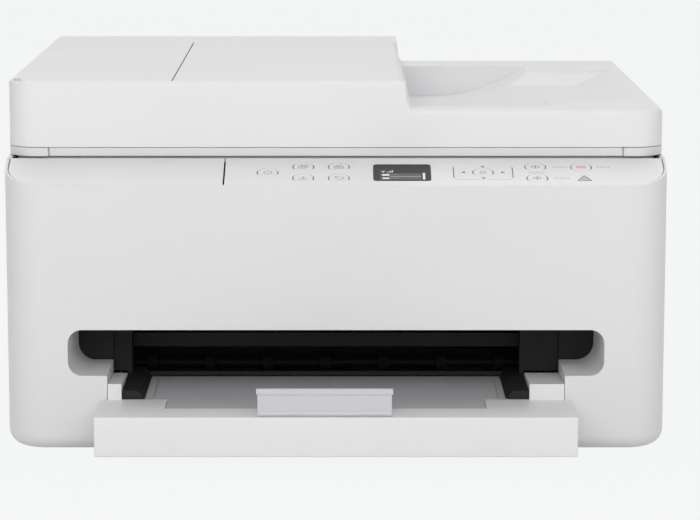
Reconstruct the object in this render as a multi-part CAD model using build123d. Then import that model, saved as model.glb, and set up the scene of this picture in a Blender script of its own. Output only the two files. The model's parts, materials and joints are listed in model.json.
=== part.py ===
from build123d import *
import math
import os

# A multifunction inkjet printer with a paper cassette, a flatbed scanner and a document feeder.
# Sizes are millimetres. X runs to the right, Y to the back and Z up.
# While the pieces are drawn, Y is 0 on the front face of the casing and the ground is at GROUND_Z.
# write() then moves them, so that the origin is on the ground in the middle of the footprint.

# General fits
SEAM = 0.4  # gap between two covers that meet
LOOSE = 0.3  # gap between pieces that slide past each other
RUNNING = 0.05  # radial gap of a shaft in its bearing
MORE = 5.0  # how far a cutting tool runs past what it cuts
LEAST_R = 1.0  # smallest corner radius of an inner outline
BITE = 0.5  # how far a moulded-on piece runs into the wall that carries it

# Casing
CASE_W = 373.0
CASE_D = 357.0
CASE_WALL = 2.4
GROUND_Z = -3.0
CASE_FLOOR_Z = -1.2
CASE_FRONT_R = 23.0
CASE_BACK_R = 14.0
CASE_BOTTOM_R = 9.0
CASE_LIP = 5.0  # width of the inner lip that carries the base frame
RIM_FRONT_Z = 149.5
RIM_RISE = 11.5
PANEL_RUN = 34.0  # depth of the sloping panels, front to back
RIM_T = 1.4
RIM_DEPTH = 20.0  # height of the blocks that cut the rim's upper edge
PANEL_T = 2.2
HALF_W = CASE_W / 2
RIM_Z = RIM_FRONT_Z + RIM_RISE
PANEL_TILT = math.degrees(math.atan2(RIM_RISE, PANEL_RUN))
PANEL_JOIN_X = HALF_W - 249.3  # where the left panel meets the control panel
PANEL_GAP = 1.0
PANEL_SIDE = 0.8  # gap at the ends of the panels
PANEL_FIT = 0.05  # gap along their front
FOOT_R = 8.5
FOOT_IN = 12.0  # from the casing's lip to the middle of a foot

# Opening in the front wall, and its tunnel
SLOT_HALF_W = HALF_W - 35.8

SLOT_Z0 = 41.8
SLOT_Z1 = 68.0
SLOT_R = 8.0
SLOT_MID_Z = (SLOT_Z0 + SLOT_Z1) / 2
SLOT_TAPER = 2.0  # how far the tunnel's ends draw in at its back
SLOT_BACK_R = 10.0
NOTCH_HALF_W = SLOT_HALF_W - 21.9
TUNNEL_D = 47.6
TUNNEL_WALL = 2.0

# Back wall: jam door, sockets, screws and the pillars of the main board
INLET = dict(x=HALF_W - 31.5, z=29.0, w=30.0, h=22.0)
INLET_Y0 = CASE_D - 14.0
INLET_BOX_Y = CASE_D - 21.0
INLET_MOUTH_W = 18.0
INLET_MOUTH_H = 9.0
INLET_PIN_R = 1.2
INLET_PIN_X = 4.3
INLET_PIN_END = 5.0  # how far a pin's end stands back from the face
PORTS = dict(x=28.5 - HALF_W, z=72.0, w=26.0, h=34.0)
PORTS_Y0 = CASE_D - 19.0
PORTS_WALL = 5.0
PORTS_ARM = 8.0
USB_MOUTH = (12.0, 3.0, 14.0)  # width, then lower and upper edge above the middle
LINE_MOUTH = (10.0, 4.0, 13.0)  # width, then upper and lower edge below the middle
LINE_X = 6.3
JAM_HALF_W = HALF_W - 91.5
JAM_Z0 = 45.0
JAM_Z1 = 120.0
JAM_BARREL_R = 3.0
JAM_PIVOT_Y = CASE_D - JAM_BARREL_R
JAM_PIVOT_Z = JAM_Z0 + SEAM + JAM_BARREL_R
JAM_PIN_R = 1.5
JAM_PIN_OUT = 2.8
JAM_EAR_T = 4.0
JAM_EAR_D = 5.0
JAM_EAR_H = 11.0
JAM_RIB_D = 9.0
JAM_RIB_T = 1.6
JAM_RIB_PITCH = 20.0
JAM_RIB_END = 4.0
JAM_GRIP = (24.0, 5.0, 1.2)  # width, height and depth of the finger groove
SCREWS_X = [side * (HALF_W - reach) for side in (-1, 1) for reach in (68.5, 126.5)]
SCREW_Z = 22.0
SCREW_HEAD_R = 3.2
SCREW_HEAD_T = 1.4
SCREW_SINK = 0.2
SCREW_SLOT_L = 4.4
SCREW_SLOT_W = 0.8
SCREW_SLOT_D = 0.5
SCREW_R = 1.5
SCREW_L = 8.0
POST_HALF_W = 6.0
POST_DEPTH = 12.0
POST_HEEL = 3.0  # how far a post's foot keeps off the back wall's inner rounding
BOARD_X = 6.0 - HALF_W
BOARD_PILLAR_R = 3.0

# Scanner unit, which lifts at the front
STRIP_Z0 = 162.0
STRIP_Z1 = 166.8
CORNER_X = HALF_W - 23.5  # seam between the strip and its corner pieces
CORNER_SEAM_W = 1.0
CORNER_SEAM_D = 2.4
STRIP_IN = 1.2  # how far the strip stands back from its corner pieces
SCAN_PIVOT_Y = CASE_D - 5.0
SCAN_PIVOT_Z = 162.0
SCAN_PIVOT_R = 5.0
GLASS_T = 2.5
GLASS_Z1 = 164.6
GLASS_SEAT = 6.0  # how far the frame reaches under the glass
WELL_X0 = 12.5 - HALF_W
WELL_X1 = HALF_W - 10.5
WELL_Y0 = 46.0
WELL_Y1 = CASE_D - 53.0
SKIRT_Z0 = 158.0
TUB_Z0 = 143.0
TUB_WALL = 2.0
TUB_HALF_W = HALF_W - 14.5
TUB_Y0 = 45.0
TUB_Y1 = CASE_D - 19.0
BACK_RIM_Y = CASE_D - 13.5
BACK_RIM_Z = SCAN_PIVOT_Z - SCAN_PIVOT_R - SEAM
SCAN_EAR_D = 7.0
SCAN_EAR_H = 16.0
SCAN_EAR_R = 4.2
STAY_X = HALF_W - 9.0
STAY_Y = CASE_D - 157.0
STAY_Z = 151.0
STAY_L = 120.0
STAY_T = 4.0
STAY_W = 7.0
STAY_EYE_R = 4.5
STAY_TIP_R = 4.0
STAY_STOP = (STAY_Y + 22.0, STAY_Y + 32.0, 134.0, 146.0)  # lower y, upper y, lower z, upper z
STAY_LUG_T = 3.0
STAY_LUG_D = 12.0
CIS_ROD_Y = 175.0
CIS_ROD_Z = 149.5
CIS_ROD_R = 3.5
CIS_W = 18.0
CIS_HOME_X = 14.0 - TUB_HALF_W
CIS_Y0 = WELL_Y0 + 12.0
CIS_Y1 = WELL_Y1 - 12.0
CIS_Z0 = 154.5
CIS_SLIT = 4.0
CIS_SHOE_D = 18.0
CIS_SHOE_DROP = 4.2

# Document cover with the feeder
COVER_Z0 = 167.2
COVER_Z1 = 204.5
COVER_LOW_Z = 187.9
COVER_FRONT_R = 17.0
COVER_BACK_R = 15.0
COVER_CREST_R = 15.0  # rounding of the upper back edge
COVER_WALL = 3.0
COVER_EDGE_R = 2.4
COVER_PIVOT_R = 7.0
STEP_X = HALF_W - 146.7  # top of the step between the feeder and the low side
STEP_LEAN = 1.8  # how far the step's foot stands out from its top
STEP_FOOT_R = 5.0
FEED_SEAM_X = 93.2 - HALF_W
TOP_SEAM_Y = CASE_D - 64.2  # back end of the two upper lids
RECESS_Y0 = 56.0
RECESS_Y1 = CASE_D - 54.0
RECESS_FLOOR_Z = 168.6
RECESS_FLAT_X = STEP_X + 22.2
RECESS_RAMP_R = 107.0
EXIT_WALL = 2.4  # how far the wall over the paper exit stands past the step
DISH_X1 = HALF_W - 9.5
DISH_Y0 = 88.0
DISH_Y1 = CASE_D - 86.0
DISH_DEPTH = 8.0
DISH_SLOPE = 24.0  # width of the sloping sides at the dish's front and back
DISH_END_SLOPE = 26.0  # width of the sloping side at its right end
TRAY_BARREL_R = 5.5
TRAY_T = 3.6
FEED_BARREL_R = 3.0
FEED_LID_T = 3.0
LID_FIT = 0.2  # gap round the two upper lids
LID_JOINT = 0.9  # gap between them
LID_PIN_R = 1.5
LID_PIN_OUT = 2.2
TRAY_PIN_OUT = 1.1
DECK_Z = 189.0
DECK_T = 3.0
BASE_T = 1.4
PAD_T = 1.0
BASE_IN = 2.0
PAD_LEFT = 40.0
PAD_CORNER_R = 3.0
SCAN_EAR_X = HALF_W - 66.5
COVER_EAR_X = HALF_W - 41.5
EAR_T = 10.0
PIN_R = 2.0
PIN_OUT = 6.0  # how far a hinge pin stands out of its ear
PIN_END = 0.5  # gap past the end of a pin
COVER_PIVOT_Y = CASE_D - COVER_PIVOT_R
COVER_PIVOT_Z = COVER_Z0 + COVER_PIVOT_R
COVER_EAR_R = 4.0
TRAY_PIVOT_X = STEP_X + 0.2 - TRAY_BARREL_R
TRAY_PIVOT_Z = COVER_Z1 - TRAY_BARREL_R
TRAY_NOTCH_X = STEP_X - 67.8
TRAY_NOTCH = (3.0, 1.8, 1.6)  # width, depth and height
BARREL_SEAT_Z = TRAY_PIVOT_Z - TRAY_BARREL_R - SEAM
FEED_PIVOT_X = -HALF_W + FEED_BARREL_R
FEED_PIVOT_Z = COVER_Z1 - FEED_LID_T
FEED_WRAP_Y = PANEL_RUN + COVER_FRONT_R
FEED_CORNER_IN = 7.0  # how far the lid keeps off the left side beside the front corner
LID_Y0 = PANEL_RUN + COVER_EDGE_R
BAY_X1 = FEED_SEAM_X - 3.0
BAY_CORNER_WALL = 1.2  # wall left at the front corner, thin enough for the lid to swing past
BAY_Z0 = 170.0
BAY_Y1 = TOP_SEAM_Y - 2.8
CHANNEL_Z1 = DECK_Z - DECK_T
CHANNEL_Y1 = RECESS_Y1 - 14.0
BARREL_WALL = 1.6
RIB_Z1 = DECK_Z + 8.0
POCKET_IN = 13.0
POCKET_FRONT = 5.0
EXIT_Z1 = 178.0
RIB_Y = (62.0, TOP_SEAM_Y - 14.8)
RIB_T = 3.0
FEEDER = dict(x=34.5 - HALF_W, z=184.0, r=10.5, shaft=3.0)
PICKER = dict(x=74.5 - HALF_W, z=192.5, r=6.0, shaft=2.5)
EXITER = dict(x=68.5 - HALF_W, z=175.2, r=4.5, shaft=2.0)
PAGE_MID_Y = (LID_Y0 + TOP_SEAM_Y) / 2
PAGE_W = CASE_D - 141.0  # widest page that the feeder takes
PAGE_GUIDE_X = (FEED_SEAM_X + 8.3, STEP_X - 54.8)
PAGE_GUIDE_T = 2.0
PAGE_GUIDE_H = 9.0
PAGE_FOOT_D = 22.0
PAGE_FOOT_W = 24.0
PAGE_FOOT_T = 1.2

# Cassette
BAR_OUT = 48.0  # how far the bar stands out of the casing
BAR_HALF_W = NOTCH_HALF_W + 3.8
SHOULDER_L_X = -120.7
SHOULDER_R_X = 108.9
BAR_CUT_X0 = SHOULDER_L_X + 25.7
BAR_CUT_X1 = SHOULDER_R_X - 25.2
BAR_Z0 = 6.0
BAR_Z1 = 28.2
BAR_EDGE_R = 1.0
BAR_BACK = 0.5  # gap between the bar's back and the casing's face
BAR_CUT_FLOOR = 4.0
BAR_CUT_D = 24.0
TRAY_SIDE = 0.35  # gap between the cassette and the notch
TRAY_FLOOR_T = 2.0
TRAY_WALL_Z = 26.2
PAPER_MID_X = -6.0
PAPER_W = CASE_W - 157.0  # widest sheet that the cassette takes
PAPER_L = CASE_D - 60.0
PAPER_SLACK = 2.0
LID_T = 2.0
LID_GROOVE_W = 0.8
LID_GROOVE_D = 0.5
LID_GROOVE_END = 4.0
LID_GROOVE_OUT = 8.0
LID_END_Y = 65.5
SHOULDER_FRONT_Z = 37.2
SHOULDER_BACK_Z = 34.0
RAIL_Z0 = 28.6
RAIL_Z1 = 33.1
RAIL_L = (SHOULDER_L_X + LOOSE, SHOULDER_L_X + 13.0)
RAIL_R = (SHOULDER_R_X - 13.3, SHOULDER_R_X - LOOSE)
RAIL_Y0 = 0.5
RAIL_LEAN = 4.0
RAIL_CUT_W = 6.0
RAIL_CUT_D = 8.0
FLAP_HALF_W = 36.8
FLAP_MID_X = -6.2
FLAP_Y = -43.0
FLAP_Z1 = 43.4
FLAP_T = 1.8
FLAP_Z = BAR_Z1 + 1.3
FLAP_LIP = 0.7
FLAP_LIP_H = 3.0
PICK_GAP = 34.0
TRAY_IN_X0 = PAPER_MID_X - PAPER_W / 2 - PAPER_SLACK
TRAY_IN_X1 = PAPER_MID_X + PAPER_W / 2 + PAPER_SLACK
TRAY_IN_Z0 = BAR_Z0 + TRAY_FLOOR_T
TRAY_IN_Y0 = -BAR_OUT + 3.0
TRAY_IN_Y1 = TRAY_IN_Y0 + PAPER_L + 2 * PAPER_SLACK
TRAY_END_Y = TRAY_IN_Y1 + 6.0
GUIDE_T = 1.6
GUIDE_FOOT_T = 1.4
GUIDE_Y0 = 80.0
GUIDE_Y1 = 165.0
GUIDE_FOOT_Y = (108.0, 136.0)
GUIDE_FOOT_W = 14.0
END_GUIDE_W = 60.0
END_FOOT_W = 28.0
END_FOOT_D = 26.0

# Base frame and engine
BASE_Z1 = 5.6
BASE_GAP = 0.6
TRAY_BACK_ROOM = 30.0
GUIDE_WALL_T = 2.4
GUIDE_WALL_Z = 27.0
ENGINE_HALF_W = HALF_W - 16.5
SHEET_T = 1.5
ENGINE_Z0 = 24.0
ENGINE_Z1 = 104.0
ENGINE_Y0 = 68.0
ENGINE_Y1 = 210.0
RAIL_Y = 156.0
RAIL_FOLD = 8.0
ROLLER_Z = 34.0
EJECT_Y = 79.0
EJECT_R = 5.5
EJECT_SHAFT_R = 3.0
FEED_Y = 140.0
FEED_R = 6.5
FEED_SHAFT_R = 4.0
FEED_TEETH = 26
FEED_TYRES = (9, 25.0)  # number and pitch
FEED_TYRE_W = 15.0
EJECT_TEETH = 22
EJECT_TYRES = (7, 34.0)
EJECT_TYRE_W = 6.0
GEAR_MODULE = 0.8
GEAR_W = 5.0
SHAFT_OUT = 1.5
PLATEN_Z1 = 41.0
HEAD_Z0 = 43.0
HEAD_H = 3.0
HEAD_IN = 3.0
HEAD_HALF_W = 12.0
CARRIAGE_W = 92.0
CARRIAGE_HOME_X = ENGINE_HALF_W - 50.0
CARRIAGE_Y0 = 87.0
FRONT_RAIL_Y = CARRIAGE_Y0 - 7.5
CARRIAGE_Y1 = 147.6
CARRIAGE_Z1 = 98.0
CARRIAGE_SIDE = 2.0
HOOK_T = 4.0
HOOK_IN = 6.0
HOOK_D = 9.0
BELT_GRIP_HALF = 10.0
SLIDER_D = 4.0
SLIDER_H = 6.0
CARTRIDGES = 4
PULLEY_R = 6.0
PULLEY_X = ENGINE_HALF_W - 20.0
PULLEY_RIM = 2.0
BELT_Y = 176.0
BELT_Z0 = 90.5
BELT_W = 5.0
BELT_T = 1.2
BELT_ROOM = 0.5
MOTOR_SHAFT_R = 1.5
CAP_RISE = 1.6
ARM_Y = 188.0
ARM_Z = 40.0
PICK_R = 9.0
PICK_Y = TRAY_IN_Y1 - 24.0
PICK_Z = BAR_Z0 + TRAY_FLOOR_T + LOOSE + PICK_R
PICK_HALF_W = 9.0
PICK_SHAFT_R = 2.0
ARM_HALF_W = 13.0
ARM_SIDE_T = 3.0
ARM_HUB_R = 5.0
ARM_DEPTH = 4.0
ARM_PIN_HALF = 30.0
SHELF_Z = 87.0
ENGINE_FEET_Y = (96.0, 172.0)
ENGINE_FOOT = 14.0  # width of a foot of the engine frame
FOOT_SIDE = 2.0
FOOT_HALF_D = 6.0
FRONT_RAIL_Z = (84.0, 100.0)
FRONT_FOLD = 5.0
SHELF_IN = 18.0
SHELF_BACK = 16.0
ARM_BRACKET_T = 2.0
ARM_BRACKET_UP = 8.0
CAP_X0 = ENGINE_HALF_W - 62.0
CAP_X1 = ENGINE_HALF_W - 5.0
CAP_Y0 = 94.0
CAP_Y1 = 126.0
CAP_SEAT_Z = 33.7
CAP_TOP = HEAD_Z0 - LOOSE - CAP_RISE
CAP_SHELF = 4.0
CAP_BASE_T = 3.0
CAP_LIP_T = 2.0
CART_Y0 = 92.0
CART_Y1 = 136.0
CART_Z0 = 56.0
CART_TOP = 106.0
CART_EDGE_R = 3.0
CART_GAP = 0.9
CART_GRIP = 2.5
CART_GRIP_H = 4.0
FRAME_BACK_Y = 70.0
ROOF_T = 2.2
LIP_Z1 = 31.0
END_PLATE_T = 2.5
END_PLATE_STEP = 3.0  # the inner part of each end plate stands this much further back
END_PLATE_LAP = 1.5
CROSSBAR_Z = (46.0, 54.0)
CROSSBAR_T = 4.0
PLATEN_Y0 = 90.0
PLATEN_Y1 = 126.0
PLATEN_T = 3.0
PLATEN_RIB_T = 1.6
PLATEN_RIB_H = 1.0
PLATEN_RIB_PITCH = 15.0
PLATEN_RIB_IN = 5.0
PLATEN_KEEL_IN = 4.0
PLATEN_KEEL_H = 5.0
PAPER_MOTOR_R = 16.0
PAPER_MOTOR_L = 26.0
PAPER_MOTOR_Z = 62.0
CARRIAGE_MOTOR_R = 14.0
CARRIAGE_MOTOR_L = 28.0
MOTOR_HUB_R = 5.0
MAIN_BOARD_Y = (185.0, CASE_D - 29.0)
MAIN_BOARD_Z = (32.0, 128.0)
BOARD_SPOTS = [(y, z) for y in (MAIN_BOARD_Y[0] + 10.0, MAIN_BOARD_Y[1] - 10.0) for z in (45.0, 118.0)]
CHIP_W = 32.0
CHIP_T = 3.0
PLUG_W = 8.0
PLUG_T = 7.0
CAPACITOR_H = 9.0
CAPACITOR_R = 6.0
CAPACITOR_PITCH = 22.0
SUPPLY_X = (HALF_W - 50.5, HALF_W - 12.5)
SUPPLY_Y = (ENGINE_Y1 + 5.0, CASE_D - 21.0)
SUPPLY_Z1 = 50.0
SUPPLY_SLOT_PITCH = 13.0
SUPPLY_SLOT_W = 6.0

# Controls on the sloping panel: x across, y back from the casing's front face
KEY_R = 5.6
KEY_PROUD = 0.1
KEY_GAP = 0.25
KEY_FLANGE_R = 6.6
KEY_TRAVEL = 0.7
SWITCH_H = 1.0
BOARD_DROP = 6.0  # the board's top below the panel's surface
BOARD_T = 1.6
POWER_KEY = (HALF_W - 224.9, 16.1)
MODE_KEYS = [(x, y) for y in (23.0, 9.5) for x in (HALF_W - 204.9, HALF_W - 184.9)]
BLACK_KEY = (HALF_W - 74.2, 22.8)
COLOUR_KEY = (HALF_W - 73.9, 9.3)
STOP_KEY = (HALF_W - 48.4, 22.6)
NAV_MID = (HALF_W - 103.9, 16.2)
NAV_W = 32.6
NAV_H = 17.8
NAV_R = 3.0
DISPLAY_MID = (HALF_W - 149.4, 16.2)
DISPLAY_W = 32.4
DISPLAY_H = 21.4
DISPLAY_R = 2.0
ALARM_MID = (HALF_W - 47.5, 8.9)
ALARM_R = 2.2
BOSS_R = 2.2
BOSS_SPOTS = [(x, y) for x in (HALF_W - 231.5, HALF_W - 126.0, HALF_W - 39.5) for y in (7.0, 25.5)]
KEY_BOARD_D = 27.0
BOARD_END = 6.0
MODULE_MORE = 4.0
LAMP_R = 1.5
SWITCH_R = 2.4
MODULE_D = 20.0
DISPLAY_T = 2.3
DISPLAY_SEAT = DISPLAY_T + 0.1
ALARM_DEPTH = 3.0
NAV_LOW = -2.4
GIMBAL_GAP = 0.4
GIMBAL_W = 1.3
GIMBAL_Z0 = -4.3
GIMBAL_Z1 = -2.9
OK_FLANGE_TOP = -3.0
KEY_EDGE = 0.3
PANEL_DROP = PANEL_T / math.cos(math.radians(PANEL_TILT))
SLOPE = Plane(
    origin=(0, 0, RIM_FRONT_Z),
    x_dir=(1, 0, 0),
    z_dir=(0, -math.sin(math.radians(PANEL_TILT)), math.cos(math.radians(PANEL_TILT))),
).location


# Small drawing helpers
def block(x0, x1, y0, y1, z0, z1):
    return Pos((x0 + x1) / 2, (y0 + y1) / 2, (z0 + z1) / 2) * Box(x1 - x0, y1 - y0, z1 - z0)


def rod_x(x0, x1, y, z, r):
    return Pos((x0 + x1) / 2, y, z) * Rot(0, 90, 0) * Cylinder(r, x1 - x0)


def rod_y(x, y0, y1, z, r):
    return Pos(x, (y0 + y1) / 2, z) * Rot(90, 0, 0) * Cylinder(r, y1 - y0)


def rod_z(x, y, z0, z1, r):
    return Pos(x, y, (z0 + z1) / 2) * Cylinder(r, z1 - z0)


def along_y(outline, y0, y1):
    """A flat outline in X and Z, drawn out from y0 to y1."""
    return extrude(Plane.XZ.offset(-y0) * outline, amount=y0 - y1)


def along_x(outline, x0, x1):
    """A flat outline in Y and Z, drawn out from x0 to x1."""
    return extrude(Plane.YZ.offset(x0) * outline, amount=x1 - x0)


def polygon(*points):
    return make_face(Polyline(*points, close=True))


def footprint(inset, y0, front_r, back_r):
    """The plan of a casing with round corners, its sides set in by inset, from y0 to the back."""
    depth = CASE_D - y0 - 2 * inset
    flat = Pos(0, y0 + inset + depth / 2) * Rectangle(CASE_W - 2 * inset, depth)
    flat = fillet(flat.vertices().group_by(Axis.Y)[0], max(front_r - inset, LEAST_R))
    return fillet(flat.vertices().group_by(Axis.Y)[-1], max(back_r - inset, LEAST_R))


def case_plan(inset):
    return footprint(inset, 0, CASE_FRONT_R, CASE_BACK_R)


def cover_plan(inset):
    return footprint(inset, PANEL_RUN, COVER_FRONT_R, COVER_BACK_R)


def raised(outline, z0, z1):
    return extrude(Pos(0, 0, z0) * outline, amount=z1 - z0)


def slope_z(y):
    """Height of the sloping panels at a distance y from the front face."""
    return RIM_FRONT_Z + RIM_RISE * y / PANEL_RUN


def on_slope(spot, height=0):
    """A place on the sloping panel, from its x and its y, with a height off the surface."""
    return SLOPE * Pos(spot[0], spot[1] / math.cos(math.radians(PANEL_TILT)), height)


def write(node, shape):
    middle_y = (CASE_D - BAR_OUT) / 2
    export_step(Pos(0, -middle_y, -GROUND_Z) * shape, f"parts/{node}.step")


# Casing
def opening_outline(grow):
    """The paper opening and the cassette notch below it, as seen from the front."""
    width = 2 * (SLOT_HALF_W + grow)
    height = SLOT_Z1 - SLOT_Z0 + 2 * grow
    slot = Pos(0, SLOT_MID_Z) * RectangleRounded(width, height, SLOT_R + grow)
    return slot + notch_outline(grow)


def notch_outline(grow):
    notch_h = SLOT_MID_Z - GROUND_Z
    return Pos(0, SLOT_MID_Z - notch_h / 2) * Rectangle(2 * (NOTCH_HALF_W + grow), notch_h)


def opening_cut():
    """The way through the tunnel: its round ends draw in towards the back."""
    height = SLOT_Z1 - SLOT_Z0
    mouth = Pos(0, SLOT_MID_Z) * RectangleRounded(2 * SLOT_HALF_W, height, SLOT_R)
    back = Pos(0, SLOT_MID_Z) * RectangleRounded(2 * (SLOT_HALF_W - SLOT_TAPER), height, SLOT_BACK_R)
    slot = loft([Plane.XZ * mouth, Plane.XZ.offset(-TUNNEL_D - LOOSE) * back])
    lead = along_y(mouth, -MORE, 0)
    return slot + lead + along_y(notch_outline(0), -MORE, TUNNEL_D + MORE)


def casing():
    body = raised(case_plan(0), CASE_FLOOR_Z, RIM_Z)
    body = fillet(body.faces().sort_by(Axis.Z)[0].edges(), CASE_BOTTOM_R)
    inside = raised(case_plan(CASE_WALL), CASE_FLOOR_Z + CASE_WALL, RIM_Z + MORE)
    inside = fillet(inside.faces().sort_by(Axis.Z)[0].edges(), CASE_BOTTOM_R - CASE_WALL)
    tunnel = along_y(opening_outline(TUNNEL_WALL), 0, TUNNEL_D) & body
    body = body - inside + tunnel
    body -= raised(case_plan(CASE_BOTTOM_R + CASE_LIP), GROUND_Z, CASE_FLOOR_Z + CASE_WALL + LOOSE)
    body -= opening_cut()
    high = RIM_Z + RIM_DEPTH
    top = polygon((-MORE, slope_z(-MORE)), (PANEL_RUN, RIM_Z), (PANEL_RUN, high), (-MORE, high))
    body -= along_x(top, -HALF_W - MORE, HALF_W + MORE)
    ledge = along_x(Pos(0, -PANEL_DROP) * top, -HALF_W, HALF_W)
    body -= ledge & raised(case_plan(RIM_T), RIM_FRONT_Z - RIM_DEPTH, high)
    body -= block(-HALF_W - MORE, HALF_W + MORE, BACK_RIM_Y, CASE_D + MORE, BACK_RIM_Z, RIM_Z + MORE)
    body += casing_brackets()
    return body - back_openings()


def casing_brackets():
    """Hinge ears, board pillars and the stop of the stay, all moulded on the casing's inside."""
    inner_y = CASE_D - CASE_WALL
    out = []
    for side in (-1, 1):
        x0, x1 = side * SCAN_EAR_X - EAR_T / 2, side * SCAN_EAR_X + EAR_T / 2
        ear = block(x0, x1, inner_y - SCAN_EAR_D, inner_y + BITE, BACK_RIM_Z - SCAN_EAR_H, SCAN_PIVOT_Z)
        ear += rod_x(x0, x1, SCAN_PIVOT_Y, SCAN_PIVOT_Z, SCAN_EAR_R)
        out += [ear, rod_x(x0 - PIN_OUT, x1 + PIN_OUT, SCAN_PIVOT_Y, SCAN_PIVOT_Z, PIN_R)]
        x0, x1 = sorted((side * JAM_HALF_W, side * (JAM_HALF_W + JAM_EAR_T)))
        z0 = JAM_PIVOT_Z - JAM_EAR_H / 2
        out.append(block(x0, x1, inner_y - JAM_EAR_D, inner_y + BITE, z0, z0 + JAM_EAR_H))
    for y, z in BOARD_SPOTS:
        out.append(rod_x(-HALF_W + CASE_WALL - BITE, BOARD_X, y, z, BOARD_PILLAR_R))
    out.append(block(STAY_X - STAY_T / 2, HALF_W - CASE_WALL + BITE, *STAY_STOP))
    return Compound(out)


def back_openings():
    """Openings in the back wall: jam door, power inlet, sockets and screw holes."""
    y0, y1 = CASE_D - CASE_WALL - BITE, CASE_D + MORE
    door = block(-JAM_HALF_W, JAM_HALF_W, y0, y1, JAM_Z0, JAM_Z1)
    pin_x = JAM_HALF_W + JAM_PIN_OUT + PIN_END
    door += rod_x(-pin_x, pin_x, JAM_PIVOT_Y, JAM_PIVOT_Z, JAM_PIN_R + RUNNING)
    out = [door]
    for hole in (INLET, PORTS):
        half_w, half_h = hole["w"] / 2 + LOOSE, hole["h"] / 2 + LOOSE
        x, z = hole["x"], hole["z"]
        out.append(block(x - half_w, x + half_w, y0, y1, z - half_h, z + half_h))
    for x in SCREWS_X:
        sink_y = CASE_D - SCREW_HEAD_T - SCREW_SINK
        out.append(rod_y(x, sink_y, y1, SCREW_Z, SCREW_HEAD_R + SCREW_SINK))
        out.append(rod_y(x, y0, y1, SCREW_Z, SCREW_R + RUNNING))
    return Compound(out)


def case_screws():
    out = []
    half_l, half_w = SCREW_SLOT_L / 2, SCREW_SLOT_W / 2
    for x in SCREWS_X:
        y1 = CASE_D - SCREW_SINK
        slot_y = y1 - SCREW_SLOT_D
        head = rod_y(x, y1 - SCREW_HEAD_T, y1, SCREW_Z, SCREW_HEAD_R)
        slot = block(x - half_l, x + half_l, slot_y, y1 + 1, SCREW_Z - half_w, SCREW_Z + half_w)
        cross = block(x - half_w, x + half_w, slot_y, y1 + 1, SCREW_Z - half_l, SCREW_Z + half_l)
        shank = rod_y(x, y1 - SCREW_HEAD_T - SCREW_L, y1 - SCREW_HEAD_T, SCREW_Z, SCREW_R)
        out.append(head + shank - slot - cross)
    return Compound(out)


def rubber_feet():
    reach = CASE_BOTTOM_R + CASE_LIP + FOOT_IN
    spots = [(sx * (HALF_W - reach), y) for sx in (-1, 1) for y in (reach, CASE_D - reach)]
    return Compound([rod_z(x, y, GROUND_Z, CASE_FLOOR_Z + CASE_WALL, FOOT_R) for x, y in spots])


# Sloping panels
def panel_slab(x0, x1):
    """A sloping panel between two x values. It touches the casing's rim along the front."""
    back = PANEL_RUN - SEAM
    top = [(-MORE, slope_z(-MORE)), (back, slope_z(back))]
    low = [(y, z - PANEL_DROP) for y, z in reversed(top)]
    slab = along_x(polygon(*top, *low), x0, x1)
    return slab & raised(panel_plan(), RIM_FRONT_Z - RIM_DEPTH, RIM_Z + RIM_DEPTH)


def panel_plan():
    """The plan of both panels: its round corners leave a gap that opens towards the sides."""
    y0 = RIM_T + PANEL_FIT
    flat = Pos(0, y0 + CASE_D / 2) * Rectangle(CASE_W - 2 * (RIM_T + PANEL_SIDE), CASE_D)
    return fillet(flat.vertices().group_by(Axis.Y)[0], CASE_FRONT_R - RIM_T - PANEL_SIDE)


def left_panel():
    return panel_slab(-HALF_W, PANEL_JOIN_X - PANEL_GAP / 2)


def key_spots():
    return [POWER_KEY, *MODE_KEYS, BLACK_KEY, COLOUR_KEY, STOP_KEY]


def through(spot, outline, depth=20):
    """A straight cut through the panel at a spot."""
    return extrude(on_slope(spot, -depth / 2) * outline, amount=depth)


def control_panel():
    panel = panel_slab(PANEL_JOIN_X + PANEL_GAP / 2, HALF_W)
    for spot in key_spots():
        panel -= through(spot, Circle(KEY_R + KEY_GAP))
    nav = RectangleRounded(NAV_W + 2 * KEY_GAP, NAV_H + 2 * KEY_GAP, NAV_R + KEY_GAP)
    panel -= through(NAV_MID, nav)
    fit = LOOSE / 2
    panel -= through(DISPLAY_MID, RectangleRounded(DISPLAY_W + fit, DISPLAY_H + fit, DISPLAY_R))
    panel -= through(ALARM_MID, Circle(ALARM_R + fit))
    bosses = [
        on_slope(spot, -(PANEL_T + BOARD_DROP) / 2) * Cylinder(BOSS_R, BOARD_DROP - PANEL_T)
        for spot in BOSS_SPOTS
    ]
    return panel + Compound(bosses)


def control_board():
    """The board below the panel, with a switch under each key and the display module."""
    x0, x1 = BOSS_SPOTS[0][0] - BOARD_END, BOSS_SPOTS[-1][0] + BOARD_END
    middle = ((x0 + x1) / 2, NAV_MID[1])
    board = on_slope(middle, -BOARD_DROP - BOARD_T / 2) * Box(x1 - x0, KEY_BOARD_D, BOARD_T)
    for spot in [*key_spots(), NAV_MID]:
        board += on_slope(spot, -BOARD_DROP + SWITCH_H / 2) * Cylinder(SWITCH_R, SWITCH_H)
    height = BOARD_DROP - DISPLAY_SEAT
    board += on_slope(DISPLAY_MID, -BOARD_DROP + height / 2) * Box(DISPLAY_W + MODULE_MORE, MODULE_D, height)
    height = BOARD_DROP - ALARM_DEPTH
    board += on_slope(ALARM_MID, -BOARD_DROP + height / 2) * Cylinder(LAMP_R, height)
    return board


def display_window():
    flat = RectangleRounded(DISPLAY_W - LOOSE / 2, DISPLAY_H - LOOSE / 2, DISPLAY_R)
    return extrude(on_slope(DISPLAY_MID, -DISPLAY_SEAT) * flat, amount=DISPLAY_T)


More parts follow.
